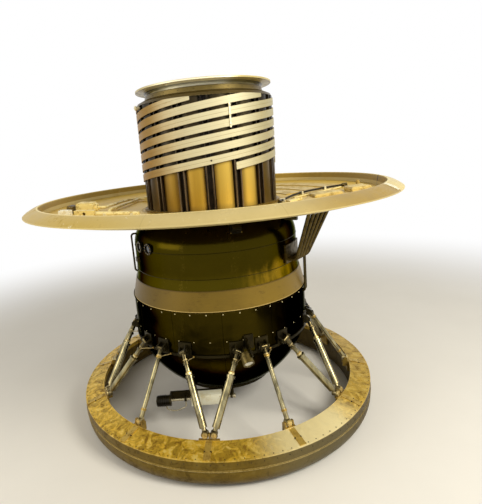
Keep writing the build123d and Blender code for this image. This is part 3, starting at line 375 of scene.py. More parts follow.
def strut_finish(colours):
    """Polished struts with dirt towards the feet, painted shade at the tops under the body, dark runs and turned
    grooves.
    """
    shade = Shade("strut_polished_steel")
    _, _, height = shade.around()
    streak = shade.noise(26.0, 4.0, 0.6, stretch=(1, 1, 0.12))
    grain = shade.noise(160.0, 3.0, 0.6)
    base = shade.mix(shade.mask(streak, 0.34, 0.66), tint(colours.strut, 0.5), tint(colours.strut, 1.4))
    low = shade.mask(height + (streak - 0.5) * 0.08, 0.30, 0.19)
    base = shade.mix(low * 0.3, base, srgb(112, 88, 42))
    stain = shade.mask(grain * 0.5 + streak * 0.5, 0.56, 0.68)
    base = shade.mix(stain * 0.5, base, srgb(58, 48, 24))
    # Painted shade: the tops of the legs darker, under the body
    strut_painted_shade = shade.mask(height + (streak - 0.5) * 0.05, 0.425, 0.485)
    base = shade.mix(strut_painted_shade * 0.8, base, srgb(50, 40, 16))
    rough = 0.19 + low * 0.2 + stain * 0.25 + (streak - 0.5) * 0.12
    return shade.finish(base, rough, 0.97, grain * 0.4 + streak * 0.5, 0.0003)


def belly_finish(colours):
    """Near black glossy belly with broad olive clouds of painted reflection, a lighter dome and an olive patch low on
    the front as painted reflection, painted shade on the right, faint dust and welded panel seams.
    """
    shade = Shade("belly_dark_gloss")
    _, azimuth, height = shade.around()
    broad = shade.noise(2.4, 4.0, 0.55, distortion=0.6)
    clouds = shade.noise(7.0, 5.0, 0.6, distortion=0.5)
    fine = shade.noise(90.0, 4.0, 0.65)
    run = shade.noise(15.0, 4.0, 0.6, stretch=(1, 1, 0.16))
    # Painted reflection: broad and smaller olive clouds on the near black
    olive = shade.mask(broad * 0.86 + run * 0.14, 0.40, 0.58)
    base = shade.mix(olive, tint(colours.belly, 0.35), tint(colours.belly, 1.3))
    base = shade.mix(shade.mask(clouds, 0.5, 0.7) * 0.4, base, tint(colours.belly, 2.0))
    dust = shade.mask(run * 0.5 + fine * 0.5, 0.56, 0.70)
    base = shade.mix(dust * 0.25, base, srgb(74, 62, 18))
    # Painted shade: the right side of the belly darker
    belly_painted_shade = shade.sector(azimuth, 16, 30) * shade.sector(azimuth, 170, 150)
    base = shade.mix(belly_painted_shade * 0.8, base, srgb(8, 6, 3))
    # Painted reflection: lighter olive on the dome under the seam
    low = shade.mask(height, SEAM_LOW.z, SEAM_LOW.z - 0.02)
    base = shade.mix(low * 0.5, base, tint(colours.belly, 1.4))
    # Painted reflection: an olive patch low on the front of the dome
    glow = shade.mask(height + (clouds - 0.5) * 0.16, 0.36, 0.43) * low
    glow = glow * shade.sector(azimuth, -44, -26) * shade.sector(azimuth, 22, 4)
    base = shade.mix(glow * 0.75, base, srgb(66, 55, 9))
    turn = azimuth * (PANELS / (2 * pi))
    seam = shade.mask(turn.apart(), 0.005, 0.0015)
    base = shade.mix(seam * 0.8, base, srgb(8, 6, 2))
    rubbed = shade.edges(0.002) * shade.mask(fine, 0.4, 0.6)
    base = shade.mix(rubbed * 0.45, base, srgb(134, 112, 54))
    rough = 0.17 + dust * 0.2 + (clouds - 0.5) * 0.14
    return shade.finish(base, rough, 1.0, clouds * 1.2 + fine * 0.1 - seam * 0.6, 0.0012,
                        Specular_Tint=srgb(104, 108, 84))


def casing_finish(colours):
    """Dark olive lacquer with painted shade above, under the disc, soft runs, lighter towards the foot and a painted
    reflection on the lower right.
    """
    shade = Shade("casing_dark_olive")
    _, azimuth, height = shade.around()
    clouds = shade.noise(5.0, 5.0, 0.6, distortion=0.4)
    run = shade.noise(16.0, 5.0, 0.6, stretch=(1, 1, 0.12))
    fine = shade.noise(110.0, 3.0, 0.6)
    base = shade.mix(clouds, tint(colours.casing, 0.78), tint(colours.casing, 1.32))
    # Painted shade: darker above, under the disc
    high = shade.mask(height + (clouds - 0.5) * 0.1, 0.98, 1.14)
    base = shade.mix(high * 0.5, base, tint(colours.casing, 0.55))
    low = shade.mask(height + (run - 0.5) * 0.05, 0.92, 0.86)
    base = shade.mix(low * 0.45, base, srgb(84, 72, 12))
    # Painted reflection: a lighter patch on the lower right
    right = shade.sector(azimuth, 8, 34) * shade.sector(azimuth, 78, 50)
    right = right * shade.mask(height, 0.96, 0.90) * shade.mask(clouds * 0.5 + run * 0.5, 0.42, 0.60)
    base = shade.mix(right * 0.75, base, srgb(158, 124, 30))
    dust = shade.mask(run * 0.55 + fine * 0.45, 0.56, 0.68)
    base = shade.mix(dust * 0.25, base, srgb(104, 88, 34))
    rough = 0.18 + dust * 0.18 + (clouds - 0.5) * 0.14
    return shade.finish(base, rough, 1.0, run * 0.8 + clouds + fine * 0.12, 0.0010,
                        Specular_Tint=srgb(150, 154, 120))


def belt_finish(colours):
    """Brushed tan belt with a light lower edge, scuffs and dark stains, with painted shade on the left and painted
    light on the right.
    """
    shade = Shade("belt_brushed_tan")
    _, azimuth, height = shade.around()
    brush = shade.noise(60.0, 4.0, 0.7, stretch=(0.25, 0.25, 6))
    clouds = shade.noise(7.0, 5.0, 0.6)
    scuff = shade.noise(34.0, 5.0, 0.72, stretch=(1, 1, 2.4), distortion=0.5)
    base = shade.mix(brush, tint(colours.belt, 0.82), tint(colours.belt, 1.2))
    base = shade.mix(shade.mask(clouds, 0.5, 0.72) * 0.5, base, tint(colours.belt, 0.62))
    # Painted shade on the left and painted light on the right
    left = shade.sector(azimuth, -6, -44)
    base = shade.mix(left * 0.6, base, tint(colours.belt, 0.5))
    right = shade.sector(azimuth, 4, 40) * shade.sector(azimuth, 120, 80)
    base = shade.mix(right * 0.5, base, tint(colours.belt, 1.5))
    foot = shade.mask(height, BELT_LOW.z + 0.0045, BELT_LOW.z + 0.002)
    base = shade.mix(foot * 0.75, base, srgb(222, 190, 112))
    head = shade.mask(height, BELT_HIGH.z - 0.007, BELT_HIGH.z - 0.003)
    base = shade.mix(head * 0.6, base, srgb(70, 54, 20))
    stain = shade.mask(clouds * 0.4 + scuff * 0.6, 0.55, 0.64)
    base = shade.mix(stain * 0.5, base, srgb(72, 50, 18))
    bare = shade.mask(scuff * 0.7 + brush * 0.3, 0.60, 0.68)
    base = shade.mix(bare * 0.4, base, srgb(172, 142, 64))
    rough = 0.40 + stain * 0.2 + (brush - 0.5) * 0.2
    return shade.finish(base, rough, 0.45, brush + clouds + scuff * 0.4, 0.0005)


def deck_finish(colours):
    """Cream-tan deck with radial panel seams, ring seams and dust, with painted shade in the corners by the hub and
    the rim and on the underside.
    """
    shade = Shade("deck_cream_tan")
    radius, azimuth, height = shade.around()
    clouds = shade.noise(5.0, 6.0, 0.62, distortion=0.3)
    fine = shade.noise(70.0, 4.0, 0.65)
    base = shade.mix(clouds, tint(colours.deck, 0.84), tint(colours.deck, 1.2))
    turn = azimuth * (PANELS / (2 * pi))
    away = turn.apart() * radius * (2 * pi / PANELS)
    seam = shade.mask(away, 0.0022, 0.0008)
    for seam_r in PANEL_SEAMS_R:
        seam = seam.maths("MAXIMUM", seam, shade.mask(abs(radius - seam_r), 0.0022, 0.0008))
    base = shade.mix(seam * 0.75, base, srgb(92, 72, 30))
    grime = shade.mask(clouds * 0.6 + fine * 0.4, 0.53, 0.66)
    base = shade.mix(grime * 0.45, base, srgb(150, 118, 40))
    # Painted shade in the corners by the hub and the rim
    inner = shade.mask(radius, DECK_HUB_R + 0.03, DECK_HUB_R)
    outer = shade.mask(radius, DECK_RIM_R - 0.035, DECK_RIM_R)
    base = shade.mix(inner.maths("MAXIMUM", inner, outer) * 0.5, base, srgb(124, 98, 42))
    # Painted shade on the underside
    under = shade.mask(height - (radius - DECK_HUB_R) * (DECK_FALL / (DECK_RIM_R - DECK_HUB_R)),
                       DECK_HUB_Z - 0.002, DECK_HUB_Z - 0.004)
    base = shade.mix(under * 0.8, base, srgb(84, 68, 28))
    rough = 0.44 + grime * 0.2 + (clouds - 0.5) * 0.2
    return shade.finish(base, rough, 0.3, clouds + fine * 0.3 - seam * 0.8, 0.0008)


def rim_finish(colours):
    """Khaki rim with whitish patches of painted highlight, painted light at the front, a painted highlight along the
    crest and the lower lip, painted shade on the right and a darker inner wall.
    """
    shade = Shade("rim_light_khaki")
    radius, azimuth, height = shade.around()
    clouds = shade.noise(8.0, 6.0, 0.65, distortion=0.3)
    fine = shade.noise(75.0, 4.0, 0.7)
    flakes = shade.noise(30.0, 5.0, 0.72, distortion=0.6)
    base = shade.mix(clouds, tint(colours.rim, 0.86), tint(colours.rim, 1.12))
    dark = shade.mask(clouds * 0.55 + fine * 0.45, 0.535, 0.66)
    base = shade.mix(dark * 0.4, base, srgb(134, 106, 50))
    # Painted highlights: small whitish patches
    pale = shade.mask(flakes * 0.7 + clouds * 0.3, 0.60, 0.66)
    base = shade.mix(pale * 0.8, base, srgb(246, 240, 212))
    # Painted light: the front of the rim lighter
    front = shade.sector(abs(azimuth - radians(6)), 40, 12)
    base = shade.mix(front * 0.55, base, shade.mix(clouds, srgb(186, 170, 122), srgb(212, 200, 158)))
    # Painted highlight along the crest
    crest = shade.mask(radius, CREST_R - 0.008, CREST_R - 0.005)
    crest = crest * shade.mask(radius, CREST_R + 0.004, CREST_R + 0.001)
    base = shade.mix(crest * 0.8, base, srgb(240, 222, 152))
    inner = shade.mask(radius, CREST_R - 0.006, CREST_R - 0.008)
    base = shade.mix(inner * 0.85, base, shade.mix(clouds, srgb(104, 82, 20), srgb(172, 140, 50)))
    joint = abs(azimuth - radians(86)) * radius
    base = shade.mix(shade.mask(joint, 0.008, 0.005) * (0.3 + inner * 0.7), base, srgb(40, 30, 12))
    # Painted shade on the right of the outer face
    right = shade.sector(azimuth, 10, 34) * shade.sector(azimuth, PLATE_AZ + 1, PLATE_AZ)
    base = shade.mix(right * (1.0 - inner) * 0.8, base, shade.mix(clouds, srgb(132, 106, 40), srgb(168, 138, 62)))
    plated = shade.sector(azimuth, PLATE_AZ, PLATE_AZ + 1)
    plated = plated * shade.sector(azimuth, PLATE_AZ + 21, PLATE_AZ + 18)
    base = shade.mix(plated * (1.0 - inner) * 0.6, base, shade.mix(clouds, srgb(212, 196, 132), srgb(234, 222, 168)))
    turn = azimuth * (PANELS / (2 * pi)) - 0.5
    away = turn.apart() * radius * (2 * pi / PANELS)
    base = shade.mix(shade.mask(away, 0.0022, 0.0008) * 0.22, base, srgb(130, 104, 44))
    # Painted highlight along the lower lip
    lip = shade.mask(height, RIM_LOW.z + 0.0275, RIM_LOW.z + 0.0255)
    base = shade.mix(lip * 0.5, base, srgb(226, 208, 146))
    rough = 0.40 + dark * 0.2 + pale * 0.1 + (clouds - 0.5) * 0.2
    return shade.finish(base, rough, 0.4, clouds + fine * 0.35 + pale * 0.4, 0.0007)


def strip_line(azimuth, height):
    """Place on the winding in turns: whole numbers lie on the middle of a strip."""
    return (height - STRIP_END_Z - (azimuth - radians(STRIP_END_AZ)) * STRIP_RISE) / STRIP_PITCH


def strip_finish(colours):
    """Cream strips with painted light and shade, golden where shaded on the left and khaki on the right, with a fine
    seam line, darker edges, tarnish and painted shade on the inner faces.
    """
    shade = Shade("strip_cream_with_painted_shade")
    radius, azimuth, height = shade.around()
    along = strip_line(azimuth, height)
    nearest = along.maths("ROUND", along)
    away = abs(along - nearest) * STRIP_PITCH
    half = nearest * 0.5
    odd = shade.mask(half.apart(), 0.1, 0.4)
    line = shade.mask(away, 0.0011, 0.0005) * (0.3 + odd * 0.45)
    clouds = shade.noise(6.0, 5.0, 0.6)
    brush = shade.noise(50.0, 4.0, 0.7, stretch=(0.3, 0.3, 5))
    # Painted light and shade: cream where lit in front, golden where shaded on the left
    sunny = shade.sector(azimuth, -70, 8) * shade.sector(azimuth, 170, 100)
    cream = shade.mix(brush, tint(colours.strip, 0.92), tint(colours.strip, 1.06))
    gold = shade.mix(brush, tint(colours.strip_shade_gold, 0.86), tint(colours.strip_shade_gold, 1.18))
    base = shade.mix(shade.mask(sunny + (clouds - 0.5) * 0.4, 0.05, 0.95), gold, cream)
    # Painted shade: khaki on the right
    khaki = shade.sector(azimuth, 22, 56) * shade.sector(azimuth, 150, 110)
    base = shade.mix(khaki * 0.8, base, srgb(154, 146, 106))
    base = shade.mix(line * 0.8, base, srgb(132, 108, 52))
    edge = shade.mask(away, STRIP_WIDTH / 2 - 0.0022, STRIP_WIDTH / 2 - 0.0004)
    base = shade.mix(edge * 0.45, base, srgb(164, 134, 68))
    tarnish = shade.mask(clouds * 0.6 + brush * 0.4, 0.56, 0.68)
    base = shade.mix(tarnish * 0.3, base, srgb(172, 136, 62))
    # Painted shade on the inner faces of the strips
    inside = shade.mask(radius, STRIP_HIGH.x - 0.0042, STRIP_HIGH.x - 0.0047)
    base = shade.mix(inside * 0.7, base, srgb(58, 44, 18))
    rough = 0.42 + tarnish * 0.15 + (brush - 0.5) * 0.15
    return shade.finish(base, rough, 0.15, brush * 0.5 + clouds * 0.6 - line * 1.2, 0.0005)


def winding_shadow_mask(shade, azimuth, height):
    """1 behind the winding, where the painted shadow of the winding goes, and 0 on the bare foot of the drum."""
    passed = 0.0
    for end in STRIP_ENDS:
        passed = passed + shade.sector(azimuth, end - 0.2, end + 0.2)
    lowest = STRIP_END_Z + STRIP_PITCH * 3.5 + (azimuth - radians(STRIP_END_AZ)) * STRIP_RISE - passed * STRIP_PITCH
    return shade.mask(height - lowest, -0.012, 0.022)


def column_finish(colours):
    """Gold-tan columns with upright streaks and painted light and shade: darker on the left, at the sides of each
    column, at the drum's edges and behind the winding, lighter at the front right.
    """
    shade = Shade("column_gold_tan")
    _, azimuth, height = shade.around()
    turn = azimuth * (COLUMNS / (2 * pi)) - 0.5
    away = turn.apart()
    streak = shade.noise(40.0, 4.0, 0.65, stretch=(1, 1, 0.06))
    clouds = shade.noise(9.0, 5.0, 0.6)
    base = shade.mix(streak, tint(colours.column, 0.86), tint(colours.column, 1.16))
    # Painted shade on the left
    left = shade.sector(azimuth, 0, -56) * shade.sector(azimuth, -170, -120)
    base = shade.mix(left * 0.8, base, srgb(92, 66, 12))
    # Painted light at the front right
    right = shade.sector(azimuth, -14, 18) * shade.sector(azimuth, 52, 36)
    base = shade.mix(right * 0.6, base, srgb(216, 186, 88))
    # Painted shade at the drum's edges
    ends = shade.sector(abs(azimuth + radians(4)), 38, 50) * shade.sector(abs(azimuth), 130, 100)
    base = shade.mix(ends * 0.85, base, srgb(46, 36, 12))
    # Painted shade at the sides of each column
    base = shade.mix(shade.mask(away, 0.16, 0.32) * 0.55, base, srgb(92, 66, 22))
    foot = shade.mask(height + (clouds - 0.5) * 0.06, FOOT_HIGH.z + 0.04, FOOT_HIGH.z)
    base = shade.mix(foot * 0.4, base, srgb(110, 84, 34))
    # Painted shadow of the winding on the columns
    winding_shadow_tone = shade.mix(clouds, srgb(14, 10, 3), srgb(40, 31, 8))
    base = shade.mix(winding_shadow_mask(shade, azimuth, height) * 0.97, base, winding_shadow_tone)
    rough = 0.38 + foot * 0.2 + (streak - 0.5) * 0.2
    return shade.finish(base, rough, 0.45, streak + clouds * 0.8, 0.0005)


def post_finish(colours):
    """Grey-brown posts beside the columns, with a lighter face, darkened by painted shadow behind the winding."""
    shade = Shade("post_grey_brown")
    _, azimuth, height = shade.around()
    streak = shade.noise(60.0, 4.0, 0.65, stretch=(1, 1, 0.05))
    fine = shade.noise(120.0, 3.0, 0.6)
    base = shade.mix(shade.mask(streak, 0.4, 0.62), srgb(48, 36, 28), srgb(112, 96, 72))
    # Painted shadow of the winding on the posts
    base = shade.mix(winding_shadow_mask(shade, azimuth, height) * 0.9, base, srgb(18, 13, 6))
    rubbed = shade.edges(0.0015) * shade.mask(fine, 0.45, 0.6)
    base = shade.mix(rubbed * 0.5, base, srgb(188, 172, 132))
    return shade.finish(base, 0.36 + (fine - 0.5) * 0.2, 0.6, streak + fine * 0.3, 0.0004)


def top_finish(colours):
    """Bright turned flange with fine circular lines, darker patches and painted light on the underside at the front
    and the back.
    """
    shade = Shade("top_turned_metal")
    radius, azimuth, height = shade.around()
    turned = shade.node("ShaderNodeTexNoise", {"Vector": shade.node("ShaderNodeCombineXYZ", {0: radius * 40.0,
                                               1: azimuth * 0.6, 2: height * 30.0}), "Scale": 6.0, "Detail": 4.0})
    clouds = shade.noise(9.0, 5.0, 0.6)
    base = shade.mix(turned, tint(colours.flange, 0.70), tint(colours.flange, 1.28))
    dark = shade.mask(clouds, 0.52, 0.68)
    base = shade.mix(dark * 0.35, base, srgb(104, 88, 42))
    # Painted light on the underside, at the front and at the back
    below = shade.mask(height, TOP_HIGH.z - 0.001, TOP_HIGH.z - 0.003)
    front = shade.sector(azimuth, -64, -24) * shade.sector(azimuth, 32, 16)
    around = shade.sector(abs(azimuth), 110, 150)
    base = shade.mix(front.maths("MAXIMUM", front, around) * below, base, srgb(255, 250, 222))
    edge = shade.mask(abs(radius - TOP_HIGH.x + 0.006), 0.0045, 0.002)
    groove = shade.mask(abs(radius - TOP_HIGH.x + 0.052), 0.007, 0.003)
    dark_line = edge.maths("MAXIMUM", edge * 0.4, groove) * below
    base = shade.mix(dark_line * 0.9, base, srgb(60, 48, 16))
    rubbed = shade.edges(0.002)
    base = shade.mix(rubbed * 0.6, base, srgb(244, 234, 190))
    return shade.finish(base, 0.30 + dark * 0.2 + (turned - 0.5) * 0.2, 0.2, turned, 0.0003)


def shoulder_finish(colours):
    """Dark shoulder and neck of the drum, with a bright turned top and a lighter middle band, lighter still at the
    front with painted light.
    """
    shade = Shade("shoulder_dark_gold")
    _, azimuth, height = shade.around()
    clouds = shade.noise(16.0, 5.0, 0.6)
    fine = shade.noise(120.0, 3.0, 0.6)
    base = shade.mix(clouds, srgb(50, 40, 12), srgb(98, 80, 34))
    neck = shade.mask(height, SHOULDER_HIGH.z + 0.0015, SHOULDER_HIGH.z + 0.0035)
    # Painted light: the middle band lighter still at the front
    front = shade.sector(azimuth, -80, -20) * shade.sector(azimuth, 60, 10)
    base = shade.mix(neck * (0.45 + front * 0.5), base, shade.mix(fine, srgb(84, 70, 30), srgb(134, 116, 60)))
    rim = shade.mask(height, NECK_HIGH.z - 0.004, NECK_HIGH.z - 0.002)
    base = shade.mix(rim * 0.8, base, srgb(44, 34, 10))
    flat = shade.mask(abs(height - SHOULDER_HIGH.z), 0.0012, 0.0006)
    base = shade.mix(flat, base, srgb(228, 214, 162))
    rubbed = shade.edges(0.002) * shade.mask(fine, 0.42, 0.6)
    base = shade.mix(rubbed * 0.5, base, srgb(206, 184, 120))
    return shade.finish(base, 0.34 + (clouds - 0.5) * 0.2, 0.5, fine * 0.4 + clouds, 0.0004)


def fitting_finish(colours):
    """Olive fitting on the left of the deck and tan outlet pipe on the right."""
    shade = Shade("fitting_olive_tan")
    _, azimuth, _ = shade.around()
    clouds = shade.noise(26.0, 5.0, 0.6)
    fine = shade.noise(140.0, 3.0, 0.6)
    olive = shade.mix(clouds, srgb(52, 42, 14), srgb(124, 100, 44))
    tan = shade.mix(clouds, srgb(150, 124, 58), srgb(214, 188, 112))
    base = shade.mix(shade.sector(azimuth, -20, 20), olive, tan)
    rubbed = shade.edges(0.0015) * shade.mask(fine, 0.42, 0.6)
    base = shade.mix(rubbed * 0.6, base, srgb(230, 208, 140))
    return shade.finish(base, 0.4 + (clouds - 0.5) * 0.25, 0.2, fine * 0.5 + clouds, 0.0004)


def glass_finish(colours):
    """Dark port glass with faint smears."""
    shade = Shade("port_smoked_glass")
    smear = shade.noise(60.0, 4.0, 0.6, stretch=(1, 1, 0.3))
    base = shade.mix(smear, srgb(8, 8, 6), srgb(30, 28, 20))
    return shade.finish(base, 0.06 + smear * 0.14, 0.0, smear, 0.0001, Coat_Weight=1.0, Coat_Roughness=0.03)


def lens_finish(colours):
    """Pale ribbed lamp lens."""
    shade = Shade("lamp_ribbed_lens")
    ribs = shade.node("ShaderNodeTexWave", {"Vector": shade.place(), "Scale": 120.0}, output="Fac",
                      bands_direction="X")
    haze = shade.noise(80.0, 3.0, 0.6)
    base = shade.mix(haze, srgb(222, 218, 196), srgb(250, 248, 236))
    return shade.finish(base, 0.08 + haze * 0.12, 0.0, ribs, 0.0006, Coat_Weight=1.0, Coat_Roughness=0.04)


def cable_finish(colours):
    """Black woven cable sheath."""
    shade = Shade("cable_black_sheath")
    weave = shade.node("ShaderNodeTexWave", {"Vector": shade.place(), "Scale": 160.0, "Distortion": 1.5},
                       output="Fac", bands_direction="DIAGONAL")
    dust = shade.noise(50.0, 4.0, 0.6)
    base = shade.mix(shade.mask(dust, 0.45, 0.7) * 0.35, srgb(20, 16, 10), srgb(104, 88, 48))
    base = shade.mix(weave * 0.2, base, srgb(60, 52, 34))
    return shade.finish(base, 0.55 + dust * 0.2, 0.0, weave, 0.0006)


# Plain worn finishes: name, colour, grime, metallic, roughness, mottle scale, edge wear
WORN_ROWS = [
    ("bracket_olive_metal", (44, 37, 12), (22, 17, 5), 0.7, 0.34, 22.0, 0.6),
    ("foot_gold_metal", (164, 136, 64), (88, 66, 24), 0.55, 0.34, 30.0, 0.6),
    ("pin_bright_metal", (226, 208, 150), (132, 106, 50), 0.6, 0.3, 50.0, 0.4),
    ("strap_dull_gold", (192, 162, 78), (116, 88, 26), 0.5, 0.42, 30.0, 0.5),
    ("flange_dark_metal", (40, 34, 12), (18, 14, 5), 0.8, 0.3, 14.0, 0.6),
    ("rail_dark_metal", (52, 44, 18), (24, 19, 7), 0.7, 0.36, 26.0, 0.7),
    ("drive_dark_paint", (30, 25, 9), (15, 12, 4), 0.5, 0.36, 26.0, 0.6),
    ("shaft_bright_metal", (216, 206, 172), (122, 104, 64), 0.8, 0.24, 40.0, 0.4),
    ("head_cream_white", (255, 252, 226), (220, 208, 160), 0.0, 0.42, 22.0, 0.3),
    ("port_bezel_black", (26, 24, 12), (64, 56, 30), 0.5, 0.28, 30.0, 0.5),
    ("duct_dusty_gold", (92, 76, 30), (44, 34, 10), 0.6, 0.42, 34.0, 0.6),
    ("pipe_olive_metal", (66, 56, 18), (34, 27, 8), 0.7, 0.34, 30.0, 0.5),
    ("pipe_cream_metal", (246, 228, 160), (170, 138, 66), 0.1, 0.4, 30.0, 0.5),
    ("box_cream_paint", (238, 218, 142), (156, 126, 56), 0.08, 0.46, 26.0, 0.5),
    ("box_tan_paint", (222, 198, 122), (136, 108, 46), 0.08, 0.46, 26.0, 0.5),
    ("box_white_paint", (255, 252, 230), (206, 190, 134), 0.0, 0.42, 30.0, 0.4),
    ("box_dark_paint", (48, 38, 20), (90, 72, 36), 0.3, 0.42, 26.0, 0.7),
    ("panel_bright_metal", (212, 184, 96), (160, 128, 52), 0.35, 0.36, 16.0, 0.4),
    ("clamp_white_metal", (244, 238, 208), (168, 146, 88), 0.4, 0.36, 40.0, 0.4),
    ("core_dark_brown", (34, 24, 10), (14, 9, 4), 0.3, 0.5, 20.0, 0.2),
    ("foot_ring_metal", (132, 106, 40), (74, 56, 18), 0.5, 0.4, 20.0, 0.4),
    ("collar_dark_metal", (66, 54, 22), (28, 21, 7), 0.75, 0.3, 20.0, 0.6),
    ("lamp_grey_metal", (112, 98, 54), (52, 42, 16), 0.7, 0.34, 40.0, 0.7),
    ("weld_dull_metal", (50, 43, 8), (30, 25, 5), 0.8, 0.4, 60.0, 0.3),
    ("fastener_bright", (230, 218, 172), (140, 118, 62), 0.3, 0.32, 60.0, 0.3),
    ("fastener_dark", (54, 40, 18), (26, 18, 8), 0.4, 0.42, 60.0, 0.4),
    ("fastener_gold", (190, 158, 84), (100, 78, 34), 0.6, 0.34, 60.0, 0.4),
    ("wire_braid_metal", (176, 158, 110), (92, 74, 38), 0.7, 0.42, 90.0, 0.3),
]

# Special finishes and the functions that make them
SPECIAL_FINISHES = {
    "ring": ring_finish, "strut": strut_finish, "belly": belly_finish, "casing": casing_finish,
    "belt": belt_finish, "deck": deck_finish, "rim": rim_finish, "strip": strip_finish, "top": top_finish,
    "column": column_finish, "fitting": fitting_finish, "shoulder": shoulder_finish, "post": post_finish,
    "glass": glass_finish, "lens": lens_finish, "cable": cable_finish,
}

# Finish of each CAD node
NODE_FINISHES = {
    "landing_ring": "ring", "ring_straps": "strap_dull_gold", "twin_foot_brackets": "foot_gold_metal",
    "single_foot_brackets": "foot_gold_metal", "foot_pins": "pin_bright_metal", "damper_tubes": "strut",
    "damper_rods": "strut", "brace_struts": "strut", "top_brackets": "bracket_olive_metal",
    "top_pins": "bracket_olive_metal", "belly_dome": "belly", "belly_flange": "flange_dark_metal",
    "belly_hatch": "belly", "seam_flange": "flange_dark_metal", "belly_drum": "belly", "belt_band": "belt",
    "sensor_frame": "rail_dark_metal", "sensor_drive": "drive_dark_paint", "sensor_shaft": "shaft_bright_metal",
    "sensor_head": "head_cream_white", "sensor_lead": "shaft_bright_metal", "upper_casing": "casing",
    "port_bezels": "port_bezel_black", "port_glasses": "glass", "disc_neck": "casing", "disc_deck": "deck",
    "disc_rim": "rim", "rim_joint_plate": "clamp_white_metal", "lamp_housing": "lamp_grey_metal",
    "lamp_lens": "lens", "lamp_bracket": "bracket_olive_metal", "duct_flange": "duct_dusty_gold",
    "duct_bundle": "duct_dusty_gold", "side_pipes": "pipe_olive_metal", "casing_lugs": "pipe_olive_metal",
    "deck_box": "box_white_paint", "deck_case": "box_cream_paint", "junction_block": "box_tan_paint",
    "vent_block": "box_tan_paint", "deck_fittings": "fitting", "valve_blocks": "box_cream_paint",
    "deck_duct": "pipe_cream_metal", "duct_saddles": "clamp_white_metal", "deck_pipes": "pipe_cream_metal",
    "deck_cable": "cable", "cable_glands": "collar_dark_metal", "cable_clamps": "clamp_white_metal",
    "cable_guards": "pipe_cream_metal", "deck_panels": "panel_bright_metal", "drum_foot": "foot_ring_metal",
    "drum_core": "core_dark_brown", "drum_columns": "column", "drum_posts": "post", "helix_strips": "strip",
    "strip_clips": "clamp_white_metal", "drum_shoulder": "shoulder", "neck_ring": "shoulder",
    "collar_ring": "top", "top_flange": "top",
}

MATERIALS = {}


class LanderColours(bpy.types.PropertyGroup):
    """Main colours of the finishes."""
    ring: bpy.props.FloatVectorProperty(
        name="Ring", description="Gold of the landing ring", default=srgb(190, 154, 46), subtype="COLOR", min=0.0,
        max=1.0)
    strut: bpy.props.FloatVectorProperty(
        name="Struts", description="Tone of the polished struts", default=srgb(152, 142, 106), subtype="COLOR",
        min=0.0, max=1.0)
    belly: bpy.props.FloatVectorProperty(
        name="Belly", description="Dark olive of the belly", default=srgb(42, 35, 5), subtype="COLOR", min=0.0,
        max=1.0)
    casing: bpy.props.FloatVectorProperty(
        name="Casing", description="Olive of the upper casing", default=srgb(58, 49, 6), subtype="COLOR", min=0.0,
        max=1.0)
    belt: bpy.props.FloatVectorProperty(
        name="Belt", description="Tan of the belt", default=srgb(122, 98, 30), subtype="COLOR", min=0.0, max=1.0)
    deck: bpy.props.FloatVectorProperty(
        name="Deck", description="Cream tan of the dished deck", default=srgb(208, 174, 68), subtype="COLOR",
        min=0.0, max=1.0)
    rim: bpy.props.FloatVectorProperty(
        name="Rim", description="Khaki of the disc's rim", default=srgb(192, 164, 76), subtype="COLOR", min=0.0,
        max=1.0)
    strip: bpy.props.FloatVectorProperty(
        name="Strips", description="Cream of the winding", default=srgb(216, 210, 176), subtype="COLOR", min=0.0,
        max=1.0)
    # Golden tone of painted shade on the left side of the winding
    strip_shade_gold: bpy.props.FloatVectorProperty(
        name="Strips, golden side", description="Gold of the winding on the left", default=srgb(152, 116, 34),
        subtype="COLOR", min=0.0, max=1.0)
    column: bpy.props.FloatVectorProperty(
        name="Columns", description="Gold of the drum's columns", default=srgb(180, 146, 52), subtype="COLOR",
        min=0.0, max=1.0)
    flange: bpy.props.FloatVectorProperty(
        name="Top flange", description="Tone of the turned top flange", default=srgb(196, 180, 116),
        subtype="COLOR", min=0.0, max=1.0)


class LanderFittings(bpy.types.PropertyGroup):
    """Sizes of the small fittings."""
    bolt_radius: bpy.props.FloatProperty(
        name="Bolt head radius", description="Radius of an ordinary bolt head", default=0.0052, min=0.001,
        unit="LENGTH")
    screw_radius: bpy.props.FloatProperty(
        name="Screw head radius", description="Radius of an ordinary screw head", default=0.0030, min=0.001,
        unit="LENGTH")
    rivet_radius: bpy.props.FloatProperty(
        name="Rivet radius", description="Radius of a rivet's head", default=0.0034, min=0.001, unit="LENGTH")
    wire_radius: bpy.props.FloatProperty(
        name="Wire radius", description="Radius of the bonding wires at the strut tops", default=0.0022,
        min=0.0005, unit="LENGTH")
    weld_radius: bpy.props.FloatProperty(
        name="Weld bead radius", description="Half the width of a weld bead", default=0.0018, min=0.0005,
        unit="LENGTH")


